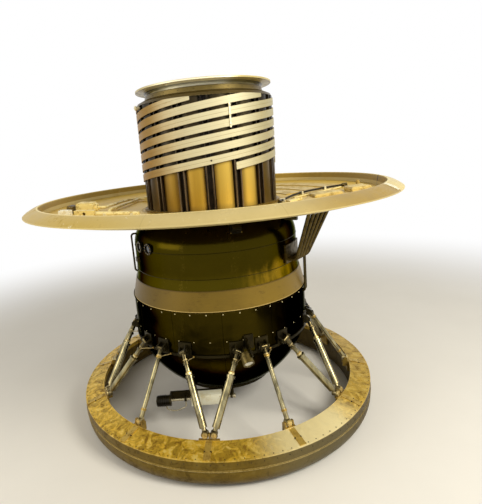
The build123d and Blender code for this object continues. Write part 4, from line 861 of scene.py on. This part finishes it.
class LanderStage(bpy.types.PropertyGroup):
    """Camera and lights."""
    lens: bpy.props.FloatProperty(
        name="Lens", description="Focal length for a 36 mm tall sensor", default=30.163, min=5.0)
    camera_height: bpy.props.FloatProperty(
        name="Camera height", description="Height of the camera over the floor", default=1.5191, unit="LENGTH")
    camera_distance: bpy.props.FloatProperty(
        name="Camera distance", description="Distance of the camera in front of the axis", default=2.5279,
        unit="LENGTH")
    camera_yaw: bpy.props.FloatProperty(
        name="Camera yaw", description="Turn of the camera to the left", default=0.0153, subtype="ANGLE",
        unit="ROTATION")
    camera_pitch: bpy.props.FloatProperty(
        name="Camera pitch", description="Fall of the camera's line of sight", default=0.2058, subtype="ANGLE",
        unit="ROTATION")
    camera_roll: bpy.props.FloatProperty(
        name="Camera roll", description="Roll of the camera about its line of sight", default=-0.0861,
        subtype="ANGLE", unit="ROTATION")
    shift_right: bpy.props.FloatProperty(
        name="Shift right", description="Sideways shift of the lens, as a share of the sensor", default=0.0638)
    shift_up: bpy.props.FloatProperty(
        name="Shift up", description="Upward shift of the lens, as a share of the sensor", default=-0.0242)
    key_power: bpy.props.FloatProperty(
        name="Key light", description="Power of the large front right light in watts", default=150.0, min=0.0)
    fill_power: bpy.props.FloatProperty(
        name="Fill light", description="Power of the left light in watts", default=40.0, min=0.0)
    sky_level: bpy.props.FloatProperty(
        name="Sky level", description="Strength of the even light from all sides", default=0.50, min=0.0)


class LANDER_OT_finishes(bpy.types.Operator):
    """Give every CAD node its worn finish"""
    bl_idname = "lander.finishes"
    bl_label = "Finishes"

    def execute(self, context):
        for name, colour, grime, metallic, rough, mottle, wear in WORN_ROWS:
            MATERIALS[name] = worn_metal(name, srgb(*colour), srgb(*grime), metallic, rough, mottle, wear)
        for name, make in SPECIAL_FINISHES.items():
            MATERIALS[name] = make(context.scene.lander_colours)
        for node, finish in NODE_FINISHES.items():
            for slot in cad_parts[node].material_slots:
                slot.material = MATERIALS[finish]
        missing = set(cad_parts) - set(NODE_FINISHES)
        if missing:
            raise RuntimeError(f"no finish for {sorted(missing)}")
        return {"FINISHED"}


class Tree:
    """Geometry nodes made by one method, with named inputs, ending in one material."""

    def __init__(self, name, inputs):
        self.tree = bpy.data.node_groups.new(name, "GeometryNodeTree")
        self.tree.interface.new_socket("Geometry", in_out="OUTPUT", socket_type="NodeSocketGeometry")
        for label, kind, default in (*inputs, ("Material", "NodeSocketMaterial", None)):
            socket = self.tree.interface.new_socket(label, in_out="INPUT", socket_type=kind)
            if default is not None:
                socket.default_value = default
        self.source = self.tree.nodes.new("NodeGroupInput")
        self.sink = self.tree.nodes.new("NodeGroupOutput")

    def get(self, label):
        """One of the tree's inputs."""
        return self.source.outputs[label]

    def node(self, kind, inputs=None, output=0, **settings):
        """One node with its settings, the values or links of its sockets, and one of its outputs."""
        made = self.tree.nodes.new(kind)
        for key, setting in settings.items():
            setattr(made, key, setting)
        for key, value in (inputs or {}).items():
            for single in value if isinstance(value, list) else [value]:
                if isinstance(single, bpy.types.NodeSocket):
                    self.tree.links.new(single, made.inputs[key])
                else:
                    made.inputs[key].default_value = single
        return made.outputs[output]

    def maths(self, operation, first, second=0.0):
        """Result of one operation on outputs and numbers."""
        return self.node("ShaderNodeMath", {0: first, 1: second}, operation=operation)

    def end(self, geometry):
        """The tree, ended in plain geometry with the one material."""
        realized = self.node("GeometryNodeRealizeInstances", {0: geometry})
        finished = self.node("GeometryNodeSetMaterial", {"Geometry": realized, "Material": self.get("Material")})
        self.tree.links.new(finished, self.sink.inputs[0])
        return self.tree


def fastener_tree():
    """Fasteners along a circle: heads with a washer, leaning from upright to level."""
    tree = Tree("fastener_circle", [
        ("Count", "NodeSocketInt", 12), ("First Angle", "NodeSocketFloat", 0.0), ("Step", "NodeSocketFloat", 0.5),
        ("Radius", "NodeSocketFloat", 0.5), ("Height", "NodeSocketFloat", 0.0), ("Lean", "NodeSocketFloat", 0.0),
        ("Head Radius", "NodeSocketFloat", 0.005), ("Head Height", "NodeSocketFloat", 0.004),
        ("Washer", "NodeSocketFloat", 1.3), ("Sides", "NodeSocketInt", 6)])
    line = tree.node("GeometryNodeMeshLine", {"Count": tree.get("Count")})
    index = tree.node("GeometryNodeInputIndex")
    angle = tree.maths("ADD", tree.maths("MULTIPLY", index, tree.get("Step")), tree.get("First Angle"))
    x = tree.maths("MULTIPLY", tree.get("Radius"), tree.maths("SINE", angle))
    y = tree.maths("MULTIPLY", tree.get("Radius"), tree.maths("MULTIPLY", tree.maths("COSINE", angle), -1.0))
    place = tree.node("ShaderNodeCombineXYZ", {0: x, 1: y, 2: tree.get("Height")})
    points = tree.node("GeometryNodeSetPosition", {"Geometry": line, "Position": place})
    head = tree.node("GeometryNodeMeshCone", {
        "Vertices": tree.get("Sides"), "Radius Bottom": tree.get("Head Radius"),
        "Radius Top": tree.maths("MULTIPLY", tree.get("Head Radius"), 0.72), "Depth": tree.get("Head Height")})
    washer_r = tree.maths("MULTIPLY", tree.get("Head Radius"), tree.get("Washer"))
    washer = tree.node("GeometryNodeMeshCone", {
        "Vertices": 12, "Radius Bottom": washer_r, "Radius Top": tree.maths("MULTIPLY", washer_r, 0.94),
        "Depth": tree.maths("MULTIPLY", tree.get("Head Height"), 0.3)})
    bolt = tree.node("GeometryNodeJoinGeometry", {0: [head, washer]})
    turn = tree.node("ShaderNodeCombineXYZ", {0: tree.get("Lean"), 1: 0.0, 2: angle})
    return tree.end(tree.node("GeometryNodeInstanceOnPoints", {"Points": points, "Instance": bolt,
                                                               "Rotation": turn}))


def bead_tree():
    """Rippled weld bead round the axis."""
    tree = Tree("weld_bead_ring", [
        ("Points", "NodeSocketInt", 400), ("Radius", "NodeSocketFloat", 0.5), ("Height", "NodeSocketFloat", 0.0),
        ("Thickness", "NodeSocketFloat", 0.002), ("Ripple", "NodeSocketFloat", 0.25)])
    ring = tree.node("GeometryNodeCurvePrimitiveCircle", {"Resolution": tree.get("Points"),
                                                          "Radius": tree.get("Radius")})
    index = tree.node("GeometryNodeInputIndex")
    wave = tree.maths("MULTIPLY", tree.maths("SINE", tree.maths("MULTIPLY", index, 1.9)), tree.get("Ripple"))
    swollen = tree.node("GeometryNodeSetCurveRadius", {"Curve": ring, "Radius": tree.maths("ADD", wave, 1.0)})
    profile = tree.node("GeometryNodeCurvePrimitiveCircle", {"Resolution": 6, "Radius": tree.get("Thickness")})
    bead = tree.node("GeometryNodeCurveToMesh", {"Curve": swollen, "Profile Curve": profile})
    lift = tree.node("ShaderNodeCombineXYZ", {0: 0.0, 1: 0.0, 2: tree.get("Height")})
    return tree.end(tree.node("GeometryNodeTransform", {"Geometry": bead, "Translation": lift}))


def evaluated(tree, values):
    """Plain mesh of a geometry tree with its inputs set by name."""
    holder = bpy.data.objects.new("holder", bpy.data.meshes.new("holder"))
    bpy.context.scene.collection.objects.link(holder)
    modifier = holder.modifiers.new("Shape", "NODES")
    modifier.node_group = tree
    names = {item.name: item.identifier for item in tree.interface.items_tree if item.in_out == "INPUT"}
    for label, value in values.items():
        modifier[names[label]] = value
    depsgraph = bpy.context.evaluated_depsgraph_get()
    mesh = bpy.data.meshes.new_from_object(holder.evaluated_get(depsgraph), depsgraph=depsgraph)
    bpy.data.objects.remove(holder)
    return mesh


def shaped(work, place, finish):
    """Plain mesh from mesh code, moved to its place, with faces outward and one finish."""
    bmesh.ops.recalc_face_normals(work, faces=work.faces)
    work.transform(place)
    mesh = bpy.data.meshes.new("shape")
    work.to_mesh(mesh)
    work.free()
    mesh.materials.append(MATERIALS[finish])
    return mesh


def turned(profile, place, finish, sides=20, ring=False):
    """Shape turned round local Z from radius and height pairs, closed by caps or, for a ring, on itself."""
    work = bmesh.new()
    rows = [[work.verts.new((r * cos(2 * pi * n / sides), r * sin(2 * pi * n / sides), z)) for n in range(sides)]
            for r, z in profile]
    for lower, upper in zip(rows, rows[1:] + (rows[:1] if ring else [])):
        for n in range(sides):
            m = (n + 1) % sides
            work.faces.new((lower[n], lower[m], upper[m], upper[n]))
    if not ring:
        work.faces.new(rows[0])
        work.faces.new(rows[-1])
    return shaped(work, place, finish)


def plate(size, bevel, place, finish):
    """Block with rounded edges, centred on its place and standing on local Z."""
    work = bmesh.new()
    bmesh.ops.create_cube(work, size=1.0)
    work.transform(Matrix.Translation((0, 0, size[2] / 2)) @ Matrix.Diagonal((*size, 1.0)))
    bmesh.ops.bevel(work, geom=work.edges[:], offset=bevel, segments=2, affect="EDGES", profile=0.5)
    return shaped(work, place, finish)


def wire(points, radius, finish):
    """Smooth round wire past a few points, with closed ends."""
    data = bpy.data.curves.new("wire", "CURVE")
    data.dimensions = "3D"
    data.bevel_depth = radius
    data.bevel_resolution = 2
    data.use_fill_caps = True
    data.resolution_u = 6
    spline = data.splines.new("NURBS")
    spline.points.add(len(points) - 1)
    for point, place in zip(spline.points, points):
        point.co = (*place, 1.0)
    spline.order_u = 3
    spline.use_endpoint_u = True
    holder = bpy.data.objects.new("wire", data)
    bpy.context.scene.collection.objects.link(holder)
    mesh = bpy.data.meshes.new_from_object(holder.evaluated_get(bpy.context.evaluated_depsgraph_get()))
    bpy.data.objects.remove(holder)
    bpy.data.curves.remove(data)
    mesh.materials.clear()
    mesh.materials.append(MATERIALS[finish])
    return mesh


def moved(mesh, place):
    """A mesh moved to its place."""
    mesh.transform(place)
    return mesh


def joined(name, meshes, body="lander"):
    """One object from several plain meshes, riding on a body."""
    work = bmesh.new()
    materials = []
    for mesh in meshes:
        start = len(work.faces)
        work.from_mesh(mesh)
        work.faces.ensure_lookup_table()
        for face in work.faces[start:]:
            material = mesh.materials[face.material_index]
            if material not in materials:
                materials.append(material)
            face.material_index = materials.index(material)
    merged = bpy.data.meshes.new(name)
    work.to_mesh(merged)
    work.free()
    merged.shade_smooth()
    merged.set_sharp_from_angle(angle=radians(38))
    for material in materials:
        merged.materials.append(material)
    for mesh in meshes:
        bpy.data.meshes.remove(mesh)
    piece = bpy.data.objects.new(name, merged)
    bpy.context.scene.collection.objects.link(piece)
    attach(piece, body)
    return piece


# Fastener rows: group, count, first azimuth, step, radius, height, lean from upright, kind, size, sides,
# washer, finish
FASTENER_ROWS = [
    ("belly", 38, 0.9, FULL / 38, BELLY_R, 0.7095, 90, "bolt", 0.58, 8, 1.2, "fastener_bright"),
    ("belly", 38, 1.8, FULL / 38, BELLY_R, 0.5600, 90, "bolt", 0.44, 8, 1.2, "fastener_bright"),
    ("belly", 60, 2.0, 6.0, SEAM_HIGH.x - 0.024, SEAM_LOW.z, 180, "bolt", 1.0, 6, 1.3, "fastener_gold"),
    ("belly", 36, 0.0, 10.0, FLANGE_HIGH.x - 0.021, FLANGE_LOW.z, 180, "bolt", 1.1, 6, 1.3, "fastener_gold"),
    ("belly", 24, 7.5, 15.0, HATCH_HIGH.x - 0.012, FLANGE_LOW.z - 0.0022, 180, "screw", 1.2, 8, 1.2, "fastener_gold"),
    ("belt", 40, 3.2, 9.0, BELT_R + 0.0015, BELT_HIGH.z - 0.007, 76, "screw", 1.0, 10, 1.2, "fastener_dark"),
    ("ring", 122, 0.4, FULL / 122, RING_RIVET_R, ring_top_z(RING_RIVET_R), 0, "rivet", 0.9, 8, 1.0, "fastener_dark"),
    ("ring", 90, 1.1, 4.0, RING_R, 0.1385, 90, "rivet", 0.8, 8, 1.0, "fastener_dark"),
    ("deck", 96, 0.9, 3.75, OUTER_RIVET_R, deck_z(OUTER_RIVET_R), 0, "rivet", 1.0, 8, 1.0, "fastener_gold"),
    ("deck", 60, 1.5, 6.0, INNER_RIVET_R, deck_z(INNER_RIVET_R), 0, "rivet", 1.0, 8, 1.0, "fastener_gold"),
    ("drum", 32, 5.6, FULL / 32, 0.3910, FOOT_HIGH.z, 0, "screw", 1.0, 6, 1.3, "foot_ring_metal"),
    ("drum", 24, 7.5, 15.0, NECK_HIGH.x, (NECK_LOW.z + NECK_HIGH.z) / 2, 90, "screw", 0.8, 8, 1.2,
     "collar_dark_metal"),
]
FASTENER_ROWS += [
    ("ring", STATIONS, az + side, FULL / STATIONS, STRAP_BOLT_R, ring_top_z(STRAP_BOLT_R), 0, "bolt", 0.9, 6, 1.2,
     "fastener_dark") for az in (TWIN_AZ, SINGLE_AZ) for side in (-1.0, 1.0)]


def fastener_rows(context, group):
    """Meshes of the fastener rows of one group."""
    sizes = context.scene.lander_fittings
    radii = {"bolt": sizes.bolt_radius, "screw": sizes.screw_radius, "rivet": sizes.rivet_radius}
    heights = {"bolt": 0.85, "screw": 0.55, "rivet": 0.5}
    tree = fastener_tree()
    meshes = []
    for row, count, first, step, r, z, lean, kind, size, sides, washer, finish in FASTENER_ROWS:
        if row == group:
            meshes.append(evaluated(tree, {
                "Count": count, "First Angle": radians(first), "Step": radians(step), "Radius": r, "Height": z,
                "Lean": radians(lean), "Head Radius": radii[kind] * size,
                "Head Height": radii[kind] * size * heights[kind], "Washer": washer, "Sides": sides,
                "Material": MATERIALS[finish]}))
    return meshes


def screw_ring(context, place, count, r, size, finish):
    """Ring of screws on a face whose placement is given."""
    radius = context.scene.lander_fittings.screw_radius * size
    mesh = evaluated(fastener_tree(), {
        "Count": count, "First Angle": 0.0, "Step": 2 * pi / count, "Radius": r, "Height": 0.0, "Lean": 0.0,
        "Head Radius": radius, "Head Height": radius * 0.55, "Washer": 1.2, "Sides": 8,
        "Material": MATERIALS[finish]})
    return moved(mesh, place)


def corner_screws(context, place, width, depth, size, finish):
    """Four screws near the corners of a lid."""
    meshes = []
    for across in (-1, 1):
        for along in (-1, 1):
            spot = place @ Matrix.Translation((across * width / 2, along * depth / 2, 0))
            meshes.append(screw_ring(context, spot, 1, 0.0, size, finish))
    return meshes


class LANDER_OT_ring_fittings(bpy.types.Operator):
    """Rivets and strap bolts of the landing ring"""
    bl_idname = "lander.ring_fittings"
    bl_label = "Ring fittings"

    def execute(self, context):
        joined("ring_fasteners", fastener_rows(context, "ring"))
        return {"FINISHED"}


class LANDER_OT_leg_fittings(bpy.types.Operator):
    """Gland nuts, lock nuts and bonding wires of the legs"""
    bl_idname = "lander.leg_fittings"
    bl_label = "Leg fittings"

    def execute(self, context):
        nuts, wires = [], []
        radius = context.scene.lander_fittings.wire_radius
        for foot_az, top_az, damper in LEGS:
            foot, top = leg_ends(foot_az, top_az)
            along = (top - foot).normalized()
            length = (top - foot).length
            shares = ((0.712, 0.0165, 0.011),) if damper else ((0.13, 0.0155, 0.008), (0.86, 0.0155, 0.008))
            for share, nut_r, nut_t in shares:
                place = standing(foot + along * length * share, along)
                rings = [(SLEEVE_R, 0), (nut_r, 0.0012), (nut_r, nut_t - 0.0012), (SLEEVE_R, nut_t)]
                nuts.append(turned(rings, place, "pin_bright_metal" if damper else "foot_gold_metal", 6, True))
                collar = [(SLEEVE_R, 0), (0.0138, 0), (0.0138, 0.004), (SLEEVE_R, 0.004)]
                nuts.append(turned(collar, lifted(place, nut_t), "fastener_gold", 16, True))
            start = foot + along * length * 0.90
            out = polar(1.0, top_az, 0)
            end = polar(SEAM_HIGH.x + 0.001, top_az + 5.2, (SEAM_LOW.z + SEAM_HIGH.z) / 2)
            wires.append(wire([start + out * 0.012, start + out * 0.020 - along * 0.016,
                               (start + end) / 2 + out * 0.012, end + out * 0.014, end], radius,
                              "wire_braid_metal"))
            lug = standing(end, out)
            wires.append(turned([(0.0055, 0), (0.0055, 0.0016), (0.003, 0.0018), (0.003, 0.0042), (0.001, 0.005)],
                                lug, "fastener_gold", 8))
            band = standing(start, along)
            wires.append(turned([(SLEEVE_R, -0.003), (0.0136, -0.003), (0.0136, 0.003), (SLEEVE_R, 0.003)], band,
                                "wire_braid_metal", 18, True))
        joined("leg_nuts", nuts)
        joined("bonding_wires", wires)
        return {"FINISHED"}


# Place of the small box on the casing's shoulder: azimuth, radius, height, tilt
SHOULDER_BOX = (13.6, 0.4465, 1.125, 39.3)
WELD_ROWS = [(CASING_R - 0.0004, FLARE_Z), (CASING_R - 0.0004, SHOULDER_Z)]


class LANDER_OT_body_fittings(bpy.types.Operator):
    """Bolt rows, belt screws, weld beads and the box on the casing's shoulder"""
    bl_idname = "lander.body_fittings"
    bl_label = "Body fittings"

    def execute(self, context):
        joined("belly_fasteners", fastener_rows(context, "belly"))
        joined("belt_fasteners", fastener_rows(context, "belt"))
        tree = bead_tree()
        beads = [evaluated(tree, {"Points": 480, "Radius": r, "Height": z, "Ripple": 0.25,
                                  "Thickness": context.scene.lander_fittings.weld_radius,
                                  "Material": MATERIALS["weld_dull_metal"]}) for r, z in WELD_ROWS]
        joined("casing_welds", beads)
        az, r, z, tilt = SHOULDER_BOX
        seat = outward(r - 0.006, az, z, tilt)
        box = [plate((0.062, 0.056, 0.008), 0.002, seat, "drive_dark_paint"),
               plate((0.052, 0.046, 0.032), 0.003, lifted(seat, 0.004), "drive_dark_paint"),
               plate((0.044, 0.038, 0.003), 0.001, lifted(seat, 0.035), "rail_dark_metal")]
        box += corner_screws(context, lifted(seat, 0.038), 0.036, 0.030, 0.7, "fastener_dark")
        box += corner_screws(context, lifted(seat, 0.008), 0.056, 0.050, 0.7, "fastener_gold")
        joined("shoulder_box", box)
        return {"FINISHED"}


PORT_AZIMUTHS = (-59.5, -48.0)
PORT_Z = SHOULDER_Z + 0.015
PORT_FACE_R = CASING_R + 0.009


class LANDER_OT_port_fittings(bpy.types.Operator):
    """Screws and raised lips of the two round ports"""
    bl_idname = "lander.port_fittings"
    bl_label = "Port fittings"

    def execute(self, context):
        meshes = []
        for az in PORT_AZIMUTHS:
            face = outward(PORT_FACE_R, az, PORT_Z)
            meshes.append(screw_ring(context, face, 10, 0.0262, 0.62, "fastener_gold"))
            lip = [(0.0208, 0), (0.0226, 0), (0.0224, 0.0014), (0.0212, 0.0014)]
            meshes.append(turned(lip, face, "collar_dark_metal", 36, True))
        joined("port_screws", meshes)
        return {"FINISHED"}


# Boxes on the deck: azimuth, share of the deck, width, depth, height, lid finish, screw finish
BOX_ROWS = [
    (-73.8, 0.784, 0.062, 0.050, 0.028, "box_white_paint", "fastener_dark"),
    (-78.6, 0.731, 0.026, 0.090, 0.044, "box_dark_paint", "fastener_gold"),
    (-80.0, 0.586, 0.092, 0.110, 0.056, "box_cream_paint", "fastener_gold"),
    (74.0, 0.458, 0.150, 0.150, 0.012, "box_tan_paint", "fastener_gold"),
    (77.4, 0.765, 0.104, 0.150, 0.022, "box_tan_paint", "fastener_gold"),
]


def box_lift(az, share, width, depth):
    """Height of a block's underside over the dished deck at its middle."""
    r = DECK_HUB_R + share * (DECK_RIM_R - DECK_HUB_R)
    foot = polar(r, az, 0)
    slope = DECK_FALL / (DECK_RIM_R - DECK_HUB_R)
    across = (abs(width * foot.y) + abs(depth * foot.x)) / (2 * r)
    inner = r - (abs(width * foot.x) + abs(depth * foot.y)) / (2 * r)
    return 0.0003 + slope * across ** 2 / (2 * inner)


class LANDER_OT_deck_fittings(bpy.types.Operator):
    """Deck rivets and the box lids with their screws"""
    bl_idname = "lander.deck_fittings"
    bl_label = "Deck fittings"

    def execute(self, context):
        joined("deck_fasteners", fastener_rows(context, "deck"))
        lids = []
        for az, share, width, depth, height, finish, screws in BOX_ROWS:
            top = on_deck(az, share, box_lift(az, share, width, depth) + height)
            lids.append(plate((width - LID_INSET, depth - LID_INSET, LID_T), 0.0008, top, finish))
            lids += corner_screws(context, lifted(top, LID_T), width - 0.014, depth - 0.014,
                                  0.7, screws)
        joined("box_lids", lids)
        return {"FINISHED"}


CLIP_AZ = 18.4
CLIP_SCREWS = (0.058, 0.104, 0.150)


class LANDER_OT_drum_fittings(bpy.types.Operator):
    """Screws of the drum, the clip and the winding, and the knob on the left"""
    bl_idname = "lander.drum_fittings"
    bl_label = "Drum fittings"

    def execute(self, context):
        joined("drum_fasteners", fastener_rows(context, "drum"))
        meshes = []
        strip_r = STRIP_HIGH.x
        for below in CLIP_SCREWS:
            meshes.append(screw_ring(context, outward(strip_r + 0.0043, CLIP_AZ, STRIP_HIGH.z - below), 1, 0.0, 1.0,
                                     "fastener_bright"))
        meshes.append(screw_ring(context, outward(strip_r, 2.0, 1.4725), 1, 0.0, 1.35, "fastener_dark"))
        for back in (1.4, 3.4):
            height = STRIP_END_Z + radians(back) * STRIP_RISE
            meshes.append(screw_ring(context, outward(strip_r, STRIP_END_AZ + back, height), 1, 0.0, 0.8,
                                     "strip"))
        knob = [(0.006, -0.004), (0.011, -0.004), (0.011, 0.004), (0.0065, 0.005), (0.0065, 0.009),
                (0.0115, 0.012), (0.013, 0.017), (0.0105, 0.023), (0.004, 0.0255)]
        meshes.append(turned(knob, outward(0.3855, -66.0, 1.7775), "clamp_white_metal", 16))
        joined("winding_fittings", meshes)
        return {"FINISHED"}


class LANDER_OT_sensor_fittings(bpy.types.Operator):
    """Cover, seams and screws of the sensor head, and the ribs of its drive"""
    bl_idname = "lander.sensor_fittings"
    bl_label = "Sensor fittings"

    def execute(self, context):
        length = HEAD_HIGH.x - HEAD_LOW.x
        height = HEAD_HIGH.z - HEAD_LOW.z
        middle = (HEAD_LOW.x + HEAD_HIGH.x) / 2
        covers = []
        for y, normal in ((HEAD_LOW.y, (0, -1, 0)), (HEAD_HIGH.y, (0, 1, 0))):
            face = standing((middle, y, SHAFT_Z), normal)
            covers.append(plate((length - 0.016, height - 0.016, 0.0018), 0.0007, face, "head_cream_white"))
            covers += corner_screws(context, lifted(face, 0.0018), length - 0.026,
                                    height - 0.026, 0.65, "fastener_gold")
        joined("sensor_cover", covers, "sensor")
        drive_r = (DRIVE_HIGH.z - DRIVE_LOW.z) / 2
        ribs = []
        for share in (0.28, 0.42, 0.56, 0.70):
            x = DRIVE_LOW.x + (DRIVE_HIGH.x - DRIVE_LOW.x) * share
            place = standing((x, SHAFT_Y, SHAFT_Z), (1, 0, 0))
            ribs.append(turned([(drive_r - 0.001, -0.002), (drive_r + 0.002, -0.0015), (drive_r + 0.002, 0.0015),
                                (drive_r - 0.001, 0.002)], place, "drive_dark_paint", 40, True))
        face = standing((DRIVE_LOW.x, SHAFT_Y, SHAFT_Z), (-1, 0, 0))
        ribs.append(screw_ring(context, face, 6, drive_r - 0.010, 0.8, "fastener_gold"))
        ribs.append(turned([(0.007, 0), (0.007, 0.003), (0.005, 0.005), (0.002, 0.0055)], face, "shaft_bright_metal",
                           18))
        joined("drive_ribs", ribs)
        return {"FINISHED"}


def area_light(name, location, target, size, power, colour):
    """Soft rectangular light that points at a place."""
    data = bpy.data.lights.new(name, "AREA")
    data.shape = "RECTANGLE"
    data.size, data.size_y = size
    data.energy = power
    data.color = colour
    light = bpy.data.objects.new(name, data)
    light.location = location
    light.rotation_euler = (Vector(target) - Vector(location)).to_track_quat("-Z", "Y").to_euler()
    bpy.context.scene.collection.objects.link(light)


def seen_rays(shade):
    """1 for what the camera, gloss and glass see."""
    seen = shade.node("ShaderNodeLightPath", output="Is Camera Ray")
    for ray in ("Is Glossy Ray", "Is Transmission Ray"):
        seen = seen.maths("MAXIMUM", seen, shade.node("ShaderNodeLightPath", output=ray))
    return seen


class LANDER_OT_stage(bpy.types.Operator):
    """Pale floor, soft lights and the camera"""
    bl_idname = "lander.stage"
    bl_label = "Stage"

    def execute(self, context):
        scene = context.scene
        stage = scene.lander_stage
        camera_data = bpy.data.cameras.new("camera")
        camera_data.sensor_fit = "VERTICAL"
        camera_data.sensor_height = 36.0
        camera_data.lens = stage.lens
        camera_data.shift_x = stage.shift_right
        camera_data.shift_y = stage.shift_up
        camera_data.clip_end = 200.0
        camera = bpy.data.objects.new("camera", camera_data)
        yaw, pitch = stage.camera_yaw, stage.camera_pitch
        forward = Vector((-sin(yaw) * cos(pitch), cos(yaw) * cos(pitch), -sin(pitch)))
        right = forward.cross(Vector((0, 0, 1))).normalized()
        level = Matrix((right, right.cross(forward), -forward)).transposed()
        rolled = level.to_4x4() @ Matrix.Rotation(stage.camera_roll, 4, "Z")
        camera.matrix_world = Matrix.Translation((0, -stage.camera_distance, stage.camera_height)) @ rolled
        scene.collection.objects.link(camera)
        scene.camera = camera

        shade = Shade("floor_pale")
        radius, _, _ = shade.around()
        grain = shade.noise(2.0, 4.0, 0.6)
        surface = shade.node("ShaderNodeBsdfPrincipled", {
            "Base Color": shade.mix(grain, (0.80, 0.79, 0.77), (0.86, 0.85, 0.83)), "Roughness": 0.9})
        glow = shade.node("ShaderNodeEmission", {"Color": (1, 1, 1), "Strength": 1.0})
        far = shade.mask(radius, 2.2, 5.0) * seen_rays(shade)
        shade.node_out(shade.node("ShaderNodeMixShader", {0: far, 1: surface, 2: glow}))
        half = 40.0
        mesh = bpy.data.meshes.new("floor")
        mesh.from_pydata([(-half, -half, 0), (half, -half, 0), (half, half, 0), (-half, half, 0)], [],
                         [(0, 1, 2, 3)])
        mesh.materials.append(shade.material)
        floor = bpy.data.objects.new("floor", mesh)
        scene.collection.objects.link(floor)

        world = bpy.data.worlds.new("studio")
        scene.world = world
        world.use_nodes = True
        sky = Shade.__new__(Shade)
        sky.tree = world.node_tree
        sky.tree.nodes.clear()
        plain = sky.node("ShaderNodeBackground", {"Color": (1.0, 0.95, 0.84), "Strength": stage.sky_level})
        white = sky.node("ShaderNodeBackground", {"Color": (1, 1, 1), "Strength": 1.0})
        mixed = sky.node("ShaderNodeMixShader", {0: seen_rays(sky), 1: plain, 2: white})
        made = sky.tree.nodes.new("ShaderNodeOutputWorld")
        sky.tree.links.new(mixed.socket, made.inputs["Surface"])

        area_light("key", (2.6, -2.6, 3.4), (0, 0, 0.9), (1.6, 1.6), stage.key_power, (1.0, 0.94, 0.80))
        area_light("fill", (-3.2, -1.6, 2.2), (0, 0, 0.8), (2.2, 2.2), stage.fill_power, (1.0, 0.92, 0.76))
        scene.view_settings.view_transform = "Standard"
        return {"FINISHED"}


OPERATORS = (LANDER_OT_stage, LANDER_OT_finishes, LANDER_OT_ring_fittings, LANDER_OT_leg_fittings,
             LANDER_OT_body_fittings, LANDER_OT_port_fittings, LANDER_OT_deck_fittings, LANDER_OT_drum_fittings,
             LANDER_OT_sensor_fittings)


class LANDER_PT_looks(bpy.types.Panel):
    """Sidebar panel with the lander's operators and settings"""
    bl_label = "Lander"
    bl_idname = "LANDER_PT_looks"
    bl_space_type = "VIEW_3D"
    bl_region_type = "UI"
    bl_category = "Lander"

    def draw(self, context):
        scene = context.scene
        for group in (scene.lander_colours, scene.lander_fittings, scene.lander_stage):
            for name in group.__annotations__:
                self.layout.prop(group, name)
        for operator in OPERATORS:
            self.layout.operator(operator.bl_idname)


CLASSES = (LanderColours, LanderFittings, LanderStage, *OPERATORS, LANDER_PT_looks)


def register():
    for item in CLASSES:
        bpy.utils.register_class(item)
    bpy.types.Scene.lander_colours = bpy.props.PointerProperty(type=LanderColours)
    bpy.types.Scene.lander_fittings = bpy.props.PointerProperty(type=LanderFittings)
    bpy.types.Scene.lander_stage = bpy.props.PointerProperty(type=LanderStage)


def unregister():
    del bpy.types.Scene.lander_stage
    del bpy.types.Scene.lander_fittings
    del bpy.types.Scene.lander_colours
    for item in reversed(CLASSES):
        bpy.utils.unregister_class(item)


def main():
    register()
    for operator in OPERATORS:
        getattr(bpy.ops.lander, operator.bl_idname.split(".")[1])()


if __name__ == "__main__":
    main()
